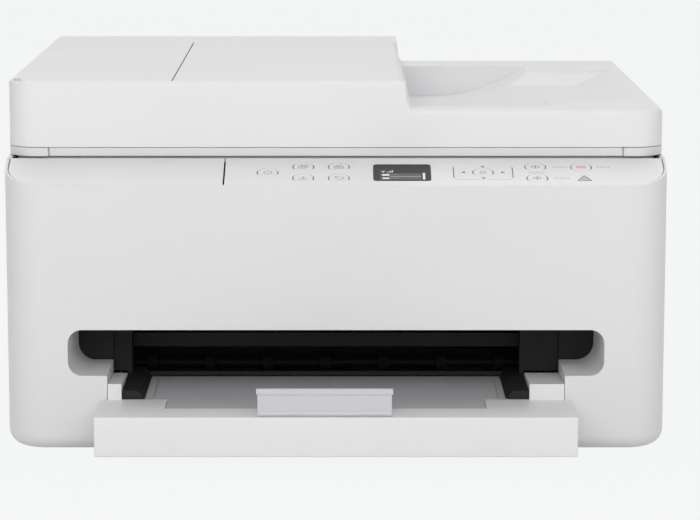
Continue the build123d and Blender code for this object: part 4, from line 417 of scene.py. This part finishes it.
def lacquered_board():
    material, tree, out = new_material("board_lacquer")
    shader = surface(tree, out, LACQUER, roughness=0.3)
    tracks = tree.nodes.new("ShaderNodeTexBrick")
    feed(tree, TRACK_SCALE, tracks.inputs["Scale"])
    feed(tree, TRACK_W, tracks.inputs["Mortar Size"])
    feed(tree, LACQUER, tracks.inputs["Color1"])
    feed(tree, PALER_LACQUER, tracks.inputs["Color2"])
    feed(tree, COPPER_UNDER_LACQUER, tracks.inputs["Mortar"])
    tree.links.new(own_coordinates(tree), tracks.inputs["Vector"])
    tree.links.new(tracks.outputs["Color"], shader.inputs["Base Color"])
    relief(tree, shader, tracks.outputs["Fac"], strength=0.2, depth=0.05 * MM)
    return material


finishes["circuit_board"] = lacquered_board()
print(len(finishes), "finishes for", len(set(slot_of.values())), "slots")

# %% [markdown]
# Some nodes hold two real materials: rubber tyres on a metal shaft, or dark chips on a green board.
# They could be split by hand into faces of one and of the other, but their finish can also choose
# by itself. It measures how far a place lies from the shaft's axis, or from the board's face, and
# changes past a limit.

# %% Finishes in two parts
SPECKLE_SCALE = 900
NEAR_SHARE, FAR_SHARE = 0.9, 0.8  # how bright the darkest speckles are
TWO_PART_GRAIN_SCALE = 1600


def distance_from(tree, centre, across):
    """How far a place is from a centre, counting only the directions that have a 1 in across."""
    offset, flat, length = [tree.nodes.new("ShaderNodeVectorMath") for _ in range(3)]
    offset.operation, flat.operation, length.operation = "SUBTRACT", "MULTIPLY", "LENGTH"
    offset.inputs[1].default_value = centre
    flat.inputs[1].default_value = across
    tree.links.new(own_coordinates(tree), offset.inputs[0])
    tree.links.new(offset.outputs[0], flat.inputs[0])
    tree.links.new(flat.outputs[0], length.inputs[0])
    return length.outputs["Value"]


def two_part(name, near, far, centre, across, limit, level=0.5):
    """A finish that changes from the near look to the far one where the distance passes the limit."""
    material, tree, out = new_material(name)
    shader = surface(tree, out, near.colour, near.roughness, near.metallic, level)
    is_far = maths(tree, "GREATER_THAN", distance_from(tree, centre, across), limit)
    speckle = spread(tree, noise(tree, SPECKLE_SCALE), 0, 1)
    near_tone = shaded(tree, speckle, near.colour, NEAR_SHARE)
    far_tone = shaded(tree, speckle, far.colour, FAR_SHARE)
    tree.links.new(tint(tree, is_far, near_tone, far_tone), shader.inputs["Base Color"])
    tree.links.new(spread(tree, is_far, near.roughness, far.roughness, 0, 1), shader.inputs["Roughness"])
    if near.metallic != far.metallic:
        tree.links.new(spread(tree, is_far, near.metallic, far.metallic, 0, 1), shader.inputs["Metallic"])
    relief(tree, shader, noise(tree, TWO_PART_GRAIN_SCALE), strength=0.15)
    return material


print("speckles", round(1 / SPECKLE_SCALE / MM, 1), "mm wide")

# %% [markdown]
# The two long paper rollers lie behind the dark opening. Their shafts and tyres are painted nearly
# black, darker than rubber, as painted shade, so their rubber hardly shows. The pickup roller and
# the feeder's three have bright steel shafts. A tyre starts a little outside its shaft, so the limit
# lies just past the shaft's radius. The main board stands against the left wall, and its chips face
# inwards.

# %% Rollers and main board
Look = namedtuple("Look", "colour roughness metallic")
STEEL_LOOK = Look(ZINC, ZINC_ROUGHNESS, 1.0)
# painted shade: this shaft black stands for the shade behind the paper opening
SHADE_BLACK_SHAFT_LOOK = Look((0.003, 0.003, 0.003), 0.6, 0.0)
RUBBER_LOOK = Look(RUBBER, RUBBER_ROUGHNESS, 0.0)
# painted shade: a rubber darker than the real rubber, for the shade behind the paper opening
SHADED_RUBBER_LOOK = Look((0.005, 0.005, 0.0055), 0.72, 0.0)
BOARD_LOOK = Look(LACQUER, 0.32, 0.0)
CHIP_LOOK = Look((0.020, 0.020, 0.021), 0.48, 0.0)
DULL_LEVEL = 0.12  # for what lies behind the opening
PAST_SHAFT = 0.2  # in mm
BOARD_T = 1.7 * MM  # chips stand out past this
ACROSS_X, ACROSS_Y = (0, 1, 1), (1, 0, 1)  # for a shaft along X, and for one along Y
own_finish = {}


def middle_of(node):
    low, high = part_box(node)
    return tuple((a + b) / 2 for a, b in zip(low, high))


def tyred(node, shaft_look, shaft_r, across, tyre_look=RUBBER_LOOK, level=0.5):
    """The finish of a roller whose shaft has this radius, in mm."""
    limit = (shaft_r + PAST_SHAFT) * MM
    return two_part(f"{node}_look", shaft_look, tyre_look, middle_of(node), across, limit, level)


for node, shaft_r in (("feed_roller", 4.0), ("eject_roller", 3.0)):
    own_finish[node] = tyred(node, SHADE_BLACK_SHAFT_LOOK, shaft_r, ACROSS_X, SHADED_RUBBER_LOOK, DULL_LEVEL)
own_finish["pickup_roller"] = tyred("pickup_roller", STEEL_LOOK, 2.0, ACROSS_X)
for node, shaft_r in (("adf_feed_roller", 3.0), ("adf_pickup_roller", 2.5), ("adf_exit_roller", 2.0)):
    own_finish[node] = tyred(node, STEEL_LOOK, shaft_r, ACROSS_Y)
board_face = (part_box("main_board")[0][0], 0, 0)
own_finish["main_board"] = two_part(
    "main_board_look", BOARD_LOOK, CHIP_LOOK, board_face, across=(1, 0, 0), limit=BOARD_T
)
print(len(own_finish), "finishes in two parts")

# %% [markdown]
# The four ink cartridges stand side by side, and each has a coloured label around the upper part of
# its dark case. The labels are paper thin, so they are painted and not modelled. A ramp with hard
# steps reads the place across the row and gives each cartridge its ink's colour, and a test of the
# height keeps the colour to the upper part.

# %% Labels of the cartridges
LABEL_H = 12 * MM
LABEL_GRAIN_SCALE = 80
LABEL_GLOSS = (0.26, 0.34)
ink_colours = [(0.035, 0.035, 0.035), (0.75, 0.60, 0.02), (0.55, 0.02, 0.18), (0.01, 0.22, 0.50)]


def labelled_tanks():
    material, tree, out = new_material("tank_labels")
    shader = surface(tree, out, TANK_BLACK, roughness=0.3)
    low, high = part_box("ink_cartridges")
    split = tree.nodes.new("ShaderNodeSeparateXYZ")
    tree.links.new(own_coordinates(tree), split.inputs[0])
    ramp = tree.nodes.new("ShaderNodeValToRGB")
    ramp.color_ramp.interpolation = "CONSTANT"
    ramp.color_ramp.elements.remove(ramp.color_ramp.elements[1])
    ramp.color_ramp.elements[0].color = (*ink_colours[0], 1)
    for n, colour in enumerate(ink_colours[1:], 1):
        ramp.color_ramp.elements.new(n / len(ink_colours)).color = (*colour, 1)
    tree.links.new(spread(tree, split.outputs[0], 0, 1, low[0], high[0]), ramp.inputs["Fac"])
    on_label = maths(tree, "GREATER_THAN", split.outputs[2], high[2] - LABEL_H)
    tree.links.new(tint(tree, on_label, TANK_BLACK, ramp.outputs["Color"]), shader.inputs["Base Color"])
    tree.links.new(spread(tree, noise(tree, LABEL_GRAIN_SCALE), *LABEL_GLOSS), shader.inputs["Roughness"])
    return material


own_finish["ink_cartridges"] = labelled_tanks()
print(len(ink_colours), "cartridge labels,", round(LABEL_H / MM), "mm high")

# %% [markdown]
# A few pieces differ a little from the finish of their slot. The casing is a little greyer than the
# cover. The strip under the cover is darker still, which is painted shade for the shadow under the
# cover's edge. The paper stopper is a cool grey, painted a little darker for the shade it stands in.
# What lies behind the paper opening is painted a deeper black than its own, as painted shade, so the
# opening looks as dark as it should.

# %% Finishes of single pieces
SHELL_SHARE, STRIP_SHADE_SHARE = 0.94, 0.90  # of the cover's white
shell_white = moulded("shell_moulding", tuple(SHELL_SHARE * v for v in WHITE), 0.42)
# painted shade: the strip's white is darkened for the shadow that the cover's edge casts on it
strip_shaded_white = moulded("strip_moulding_painted_shade", tuple(STRIP_SHADE_SHARE * v for v in WHITE), 0.45)
# a cool grey plastic, painted a little darker for the shade that falls on the stopper
cool_grey_and_shade = moulded("stopper_moulding_and_shade", (0.605, 0.605, 0.625), 0.45)
# painted shade: a black deeper than these parts' own, for the dark inside of the paper opening
black_and_painted_shade = moulded(
    "inner_black_and_shade", (0.004, 0.004, 0.0045), 0.6, grain_mm=0.4, strength=0.2, change=0.2, level=0.12
)
own_finish["outer_shell"] = shell_white
own_finish["scanner_frame"] = strip_shaded_white
own_finish["stopper_flap"] = cool_grey_and_shade
for node in ("platen", "pickup_arm", "cap_unit", "print_carriage"):
    own_finish[node] = black_and_painted_shade
print(len(own_finish), "pieces with their own finish")

# %% [markdown]
# The CAD nodes come in as loose triangles with flat faces, which would show on round corners, and
# they must stay as they are. So each one gets a copy whose corners are merged and whose shallow
# angles are shaded smooth. The copy takes the node's place in the render and rides on the same
# body. Edges steeper than the limit stay sharp.

# %% Skins over the CAD nodes
SMOOTH_ANGLE = math.radians(28)
MERGE_WITHIN = 0.01 * MM


def skin(node):
    bpy.ops.object.select_all(action="DESELECT")
    copy = bpy.data.objects.new(f"{node}_skin", nodes[node].data.copy())
    scene.collection.objects.link(copy)
    bpy.context.view_layer.objects.active = copy
    copy.select_set(True)
    bpy.ops.object.mode_set(mode="EDIT")
    bpy.ops.mesh.select_all(action="SELECT")
    bpy.ops.mesh.remove_doubles(threshold=MERGE_WITHIN)
    bpy.ops.mesh.customdata_custom_splitnormals_clear()
    bpy.ops.object.mode_set(mode="OBJECT")
    bpy.ops.object.shade_smooth_by_angle(angle=SMOOTH_ANGLE)
    copy.data.materials.clear()
    copy.data.materials.append(own_finish.get(node) or finishes[slot_of[node]])
    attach(copy, body_of[node])
    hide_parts(node)
    return copy


skins = [skin(node) for node in sorted(nodes)]
print(len(skins), "skins,", sum(len(piece.data.polygons) for piece in skins), "faces")

# %% [markdown]
# The symbols on the panel are printed in grey ink, and one key's in pink. Ink is only a few
# hundredths of a millimetre thick, and a picture on the plastic would be the usual way to show it.
# Here each symbol is thin geometry instead, because it then stays crisp at any distance and needs
# no image. The display's picture is made in the same way, from three tones.

# %% Inks
def ink(name, colour):
    return moulded(name, colour, roughness=0.5, grain_mm=0.4, strength=0.05, change=0.03)


grey_ink = ink("grey_ink", (0.20, 0.20, 0.21))
pale_ink = ink("pale_ink", (0.42, 0.42, 0.44))
# a dark ink for print, also used as painted shade in the gaps around the keys and the ring pad
dark_ink_and_shade = ink("dark_ink_and_shade", (0.07, 0.07, 0.075))
pink_ink = ink("pink_ink", (0.74, 0.47, 0.43))
screen_light = ink("screen_light", (0.86, 0.87, 0.88))
screen_grey = ink("screen_grey", (0.085, 0.085, 0.09))
screen_text = ink("screen_text", (0.22, 0.22, 0.23))
print("four inks and three screen tones")

# %% [markdown]
# A symbol is drawn flat from three strokes: a straight bar, a ring or a part of one, and a filled
# spot. Each stroke starts as a primitive. A plane is stretched to a bar. A circle is inset by the
# width of the line, its inside is deleted, and so are the faces outside the arc. From here on, all
# sizes are in millimetres.

# %% Strokes
LINE = 0.36
RING_CORNERS = 40
SPOT_CORNERS = 32


def bar(x0, y0, x1, y1, width=LINE):
    """A straight stroke."""
    length = math.hypot(x1 - x0, y1 - y0)
    turn = math.atan2(y1 - y0, x1 - x0)
    bpy.ops.mesh.primitive_plane_add(
        size=1, location=((x0 + x1) / 2, (y0 + y1) / 2, 0), rotation=(0, 0, turn)
    )
    bpy.context.object.scale = (length, width, 1)
    return bpy.context.object


def ring(x, y, radius, start=0, end=360, width=LINE):
    """A round stroke, or an arc of it from start to end, in degrees."""
    bpy.ops.mesh.primitive_circle_add(
        vertices=RING_CORNERS, radius=radius + width / 2, fill_type="NGON", location=(x, y, 0)
    )
    shape = bpy.context.object
    bpy.ops.object.mode_set(mode="EDIT")
    bpy.ops.mesh.select_all(action="SELECT")
    bpy.ops.mesh.inset(thickness=width)
    bpy.ops.mesh.delete(type="FACE")
    mesh = bmesh.from_edit_mesh(shape.data)
    for face in mesh.faces:
        middle = face.calc_center_median()
        turn = math.degrees(math.atan2(middle.y, middle.x)) % 360
        face.select = not (start <= turn <= end or start <= turn + 360 <= end)
    bmesh.update_edit_mesh(shape.data)
    bpy.ops.mesh.delete(type="FACE")
    bpy.ops.object.mode_set(mode="OBJECT")
    return shape


def spot(x, y, radius, corners=SPOT_CORNERS, turn=0):
    """A filled disc, or a filled shape with few corners."""
    angle = math.radians(turn)
    bpy.ops.mesh.primitive_circle_add(
        vertices=corners, radius=radius, fill_type="NGON", location=(x, y, 0), rotation=(0, 0, angle)
    )
    return bpy.context.object


def outline(*corners, width=LINE):
    """The bars of a closed line through the corners."""
    return [(bar, *start, *end, width) for start, end in zip(corners, corners[1:] + corners[:1])]


print("strokes", LINE, "mm wide")

# %% [markdown]
# The panel slopes up from the casing's front rim. A drawing is joined to one mesh and thickened to
# a layer of ink by a Solidify modifier. An extrusion gives the same shape, but puts its faces in a
# new order on each run. A matrix then carries the drawing to its place: it lifts it to the rim,
# tilts it like the panel and raises it by the height of what it is printed on. The place is
# applied, so the object itself sits at the origin. A symbol on a key rides on that key, and goes
# down with it when the key is pressed.

# %% Prints on the slope
INK_T = 0.03
RIM_Z = 152.5
PANEL_RISE = 11.5
PANEL_RUN = 34.0
PANEL_TILT = math.atan2(PANEL_RISE, PANEL_RUN)


def on_slope(x, y, height):
    """The matrix of a place on the panel, x across and y back from the casing's front."""
    place = Vector((x * MM, FRONT_Y + y * MM, RIM_Z * MM + y * MM * math.tan(PANEL_TILT)))
    tilt = Matrix.Rotation(PANEL_TILT, 4, "X")
    return Matrix.Translation(place) @ tilt @ Matrix.Translation((0, 0, height * MM))


def printed(name, strokes, place, body, colour=grey_ink):
    """Draws the strokes, joins them, gives them the thickness of ink and lays them in place."""
    bpy.ops.object.select_all(action="DESELECT")
    drawn = [make(*sizes) for make, *sizes in strokes]
    for shape in drawn:
        shape.select_set(True)
    bpy.context.view_layer.objects.active = drawn[0]
    bpy.ops.object.transform_apply(location=True, rotation=True, scale=True)
    if len(drawn) > 1:
        bpy.ops.object.join()
    symbol = bpy.context.object
    symbol.name = name
    layer = symbol.modifiers.new("ink_layer", "SOLIDIFY")
    layer.thickness = INK_T
    layer.offset = 1  # all of it above the drawing
    bpy.ops.object.modifier_apply(modifier=layer.name)
    symbol.matrix_world = place @ Matrix.Scale(MM, 4)
    bpy.ops.object.transform_apply(location=True, rotation=True, scale=True)
    symbol.data.materials.append(colour)
    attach(symbol, body)
    return symbol


print("panel tilted by", round(math.degrees(PANEL_TILT), 1), "degrees")

# %% [markdown]
# The keys carry plain signs of the kind that office machines share: a power sign, two sheets for a
# copy, a lid over a glass for a scan, an arrow into a tray, an arrow back, and a diamond on the two
# start keys. The stop key has one wide bar, and the OK key a ring with a dot. Each is a short list
# of strokes around the middle of its key.

# %% Signs on the keys
KEY_PROUD = 0.1  # how far a key stands out of the panel
PAD_MID = (82.6, 16.2)
key_places = {
    "power_key": (-38.4, 16.1),
    "mode_key_1": (-18.4, 23.0),
    "mode_key_2": (1.6, 23.0),
    "mode_key_3": (-18.4, 9.5),
    "mode_key_4": (1.6, 9.5),
    "black_start_key": (112.3, 22.8),
    "colour_start_key": (112.6, 9.3),
    "stop_key": (138.1, 22.6),
    "ok_key": PAD_MID,
}


def sheet(x0, y0, x1, y1):
    """The outline of a rectangle."""
    return outline((x0, y0), (x1, y0), (x1, y1), (x0, y1))


power_sign = [(ring, 0, 0, 2.1, 130, 410), (bar, 0, 0.6, 0, 3.0)]
copy_sign = sheet(-2.6, -1.8, 1.2, 1.2) + sheet(-1.2, -0.4, 2.6, 2.4)
scan_sign = sheet(-2.6, -2.0, 2.6, 0.2) + [(bar, -2.6, 0.2, 2.2, 2.4), (bar, -1.4, -0.9, 1.4, -0.9)]
tray_sign = [
    (bar, -2.8, -1.8, 2.8, -1.8), (bar, 0, -0.8, 0, 2.4),
    (bar, -1.3, 0.6, 0, -0.8), (bar, 1.3, 0.6, 0, -0.8),
]
back_sign = [
    (bar, -2.4, 1.0, 1.4, 1.0), (ring, 1.4, -0.4, 1.4, 270, 450), (bar, 1.4, -1.8, -1.2, -1.8),
    (bar, -2.4, 1.0, -1.2, 2.1), (bar, -2.4, 1.0, -1.2, -0.1),
]
start_sign = outline((-2.6, 0), (0, 2.0), (2.6, 0), (0, -2.0)) + [(bar, 0, -1.1, 0, 1.1, 0.7)]
stop_sign = [(bar, -2.7, 0, 2.7, 0, 3.2)]
ok_sign = [(ring, 0, 0, 1.7), (spot, 0, 0, 0.45)]
signs = {
    "power_key": power_sign,
    "mode_key_1": copy_sign,
    "mode_key_2": scan_sign,
    "mode_key_3": tray_sign,
    "mode_key_4": back_sign,
    "black_start_key": start_sign,
    "colour_start_key": start_sign,
    "stop_key": stop_sign,
    "ok_key": ok_sign,
}
for key, sign in signs.items():
    colour = pink_ink if key == "stop_key" else grey_ink
    printed(f"{key}_mark", sign, on_slope(*key_places[key], KEY_PROUD), key, colour)
print(len(signs), "signs on keys")

# %% [markdown]
# The gap around a key looks wider at its left and right, and shows as a dark arc there. The gap's
# true width is in the CAD model, and the arcs are painted shade that only darken it there. The ring
# pad has four filled arrows, which are circles with three corners. A dark line down each side of the
# pad is painted shade in its gap as well. What is printed on the pad tilts with it.

# %% Arcs, arrows and side lines
GAP_R = 5.95
ARC_W = 0.4
ARC_TURN = 52
RIGHT_ARC, LEFT_ARC = 329, 159  # where the arcs start, in degrees
ARROW_R = 1.5
SIDE_LINE_X, SIDE_LINE_Y, SIDE_LINE_W = 16.6, 6.4, 0.5

# painted shade: dark arcs in each key's gap, at its left and right
gap_shade_arcs = [(ring, 0, 0, GAP_R, start, start + ARC_TURN, ARC_W) for start in (RIGHT_ARC, LEFT_ARC)]
for key, place in key_places.items():
    body, height = ("nav_pad", KEY_PROUD) if key == "ok_key" else ("printer_body", 0)
    printed(f"{key}_arcs", gap_shade_arcs, on_slope(*place, height), body, dark_ink_and_shade)
arrows = {"up": (0, 7.2, 0), "down": (0, -7.2, 180), "left": (-11.0, 0, 90), "right": (11.0, 0, 270)}
for way, (x, y, turn) in arrows.items():
    printed(f"{way}_arrow", [(spot, x, y, ARROW_R, 3, turn)], on_slope(*PAD_MID, KEY_PROUD), "nav_pad")
# painted shade: a dark line in the gap down each side of the ring pad
gap_shade_lines = [(bar, x, -SIDE_LINE_Y, x, SIDE_LINE_Y, SIDE_LINE_W) for x in (-SIDE_LINE_X, SIDE_LINE_X)]
printed("nav_gap_shade_lines", gap_shade_lines, on_slope(*PAD_MID, 0), "printer_body", dark_ink_and_shade)
print(len(key_places), "pairs of arcs and", len(arrows), "arrows")

# %% [markdown]
# Beside the start and stop keys are short rows of plain upright bars in a paler ink, and the alarm
# lamp lies in a triangle. A row is one small drawing that repeats at a fixed pitch, so a loop draws
# it, and the triangle is a closed line through three corners.

# %% Rows of bars and triangle
BAR_PITCH = 1.5
BAR_HALF_H = 0.7
THICK_LINE = 0.6
ALARM_MID = (139.0, 8.9)
rows = {  # where each row starts, and how many bars it has
    "black_bars": (122.2, 22.8, 6),
    "stop_bars": (147.6, 22.6, 5),
    "start_bars": (108.6, 16.2, 6),
    "colour_bars": (122.6, 9.3, 6),
}

for name, (x, y, count) in rows.items():
    row = [(bar, BAR_PITCH * n, -BAR_HALF_H, BAR_PITCH * n, BAR_HALF_H, THICK_LINE) for n in range(count)]
    printed(name, row, on_slope(x, y, 0), "printer_body", pale_ink)
triangle = outline((-3.8, -2.7), (3.8, -2.7), (0, 3.5), width=THICK_LINE)
printed("alarm_triangle", triangle, on_slope(*ALARM_MID, 0), "printer_body", dark_ink_and_shade)
print(len(rows), "rows of bars and a triangle")

# %% [markdown]
# The display is lit in its lower half. It shows a grey band for the chosen row and one below it,
# two blocks, a slider at the right, a signal sign with four growing bars, and thin lines. The
# picture lies on the lens like ink, because a glowing one would spread its light over the black
# around it. What stands on a band lies over it.

# %% The picture on the display
DISPLAY_MID = (37.1, 16.2)
BAND_HEIGHT = -0.12  # the lens lies a little below the panel
OVER_BAND = BAND_HEIGHT + INK_T

bands = [(bar, -12.4, -2.7, 10.6, -2.7, 3.4), (bar, -12.4, -7.2, 10.6, -7.2, 3.0)]
texts = [(bar, -6.6, -2.7, -1.6, -2.7, 0.7), (bar, -6.6, -7.0, -1.6, -7.0, 0.7)]
blocks = [(bar, -11.2, -3.0, -7.2, -3.0, 2.4), (bar, -11.0, -7.1, -7.2, -7.1, 1.8)]
slider = [(bar, 12.2, -8.6, 12.2, -0.4, 1.4)]
signal = [(bar, n - 8.4, 0.2, n - 8.4, 0.8 + 0.7 * n, 0.6) for n in range(4)]
aerial = [(bar, -11.9, 2.2, -10.6, 0.6), (bar, -9.3, 2.2, -10.6, 0.6), (bar, -10.6, 2.4, -10.6, 0.0)]
rule = [(bar, -6.9, -4.9, 10.6, -4.9, 0.35)]
for name, strokes, height, colour in (
    ("display_band", bands, BAND_HEIGHT, screen_grey),
    ("display_texts", texts, OVER_BAND, screen_text),
    ("display_blocks", blocks + slider + signal + aerial + rule, OVER_BAND, screen_light),
):
    printed(name, strokes, on_slope(*DISPLAY_MID, height), "printer_body", colour)
print("display picture from", len(bands + texts + blocks + slider + signal + aerial + rule), "strokes")
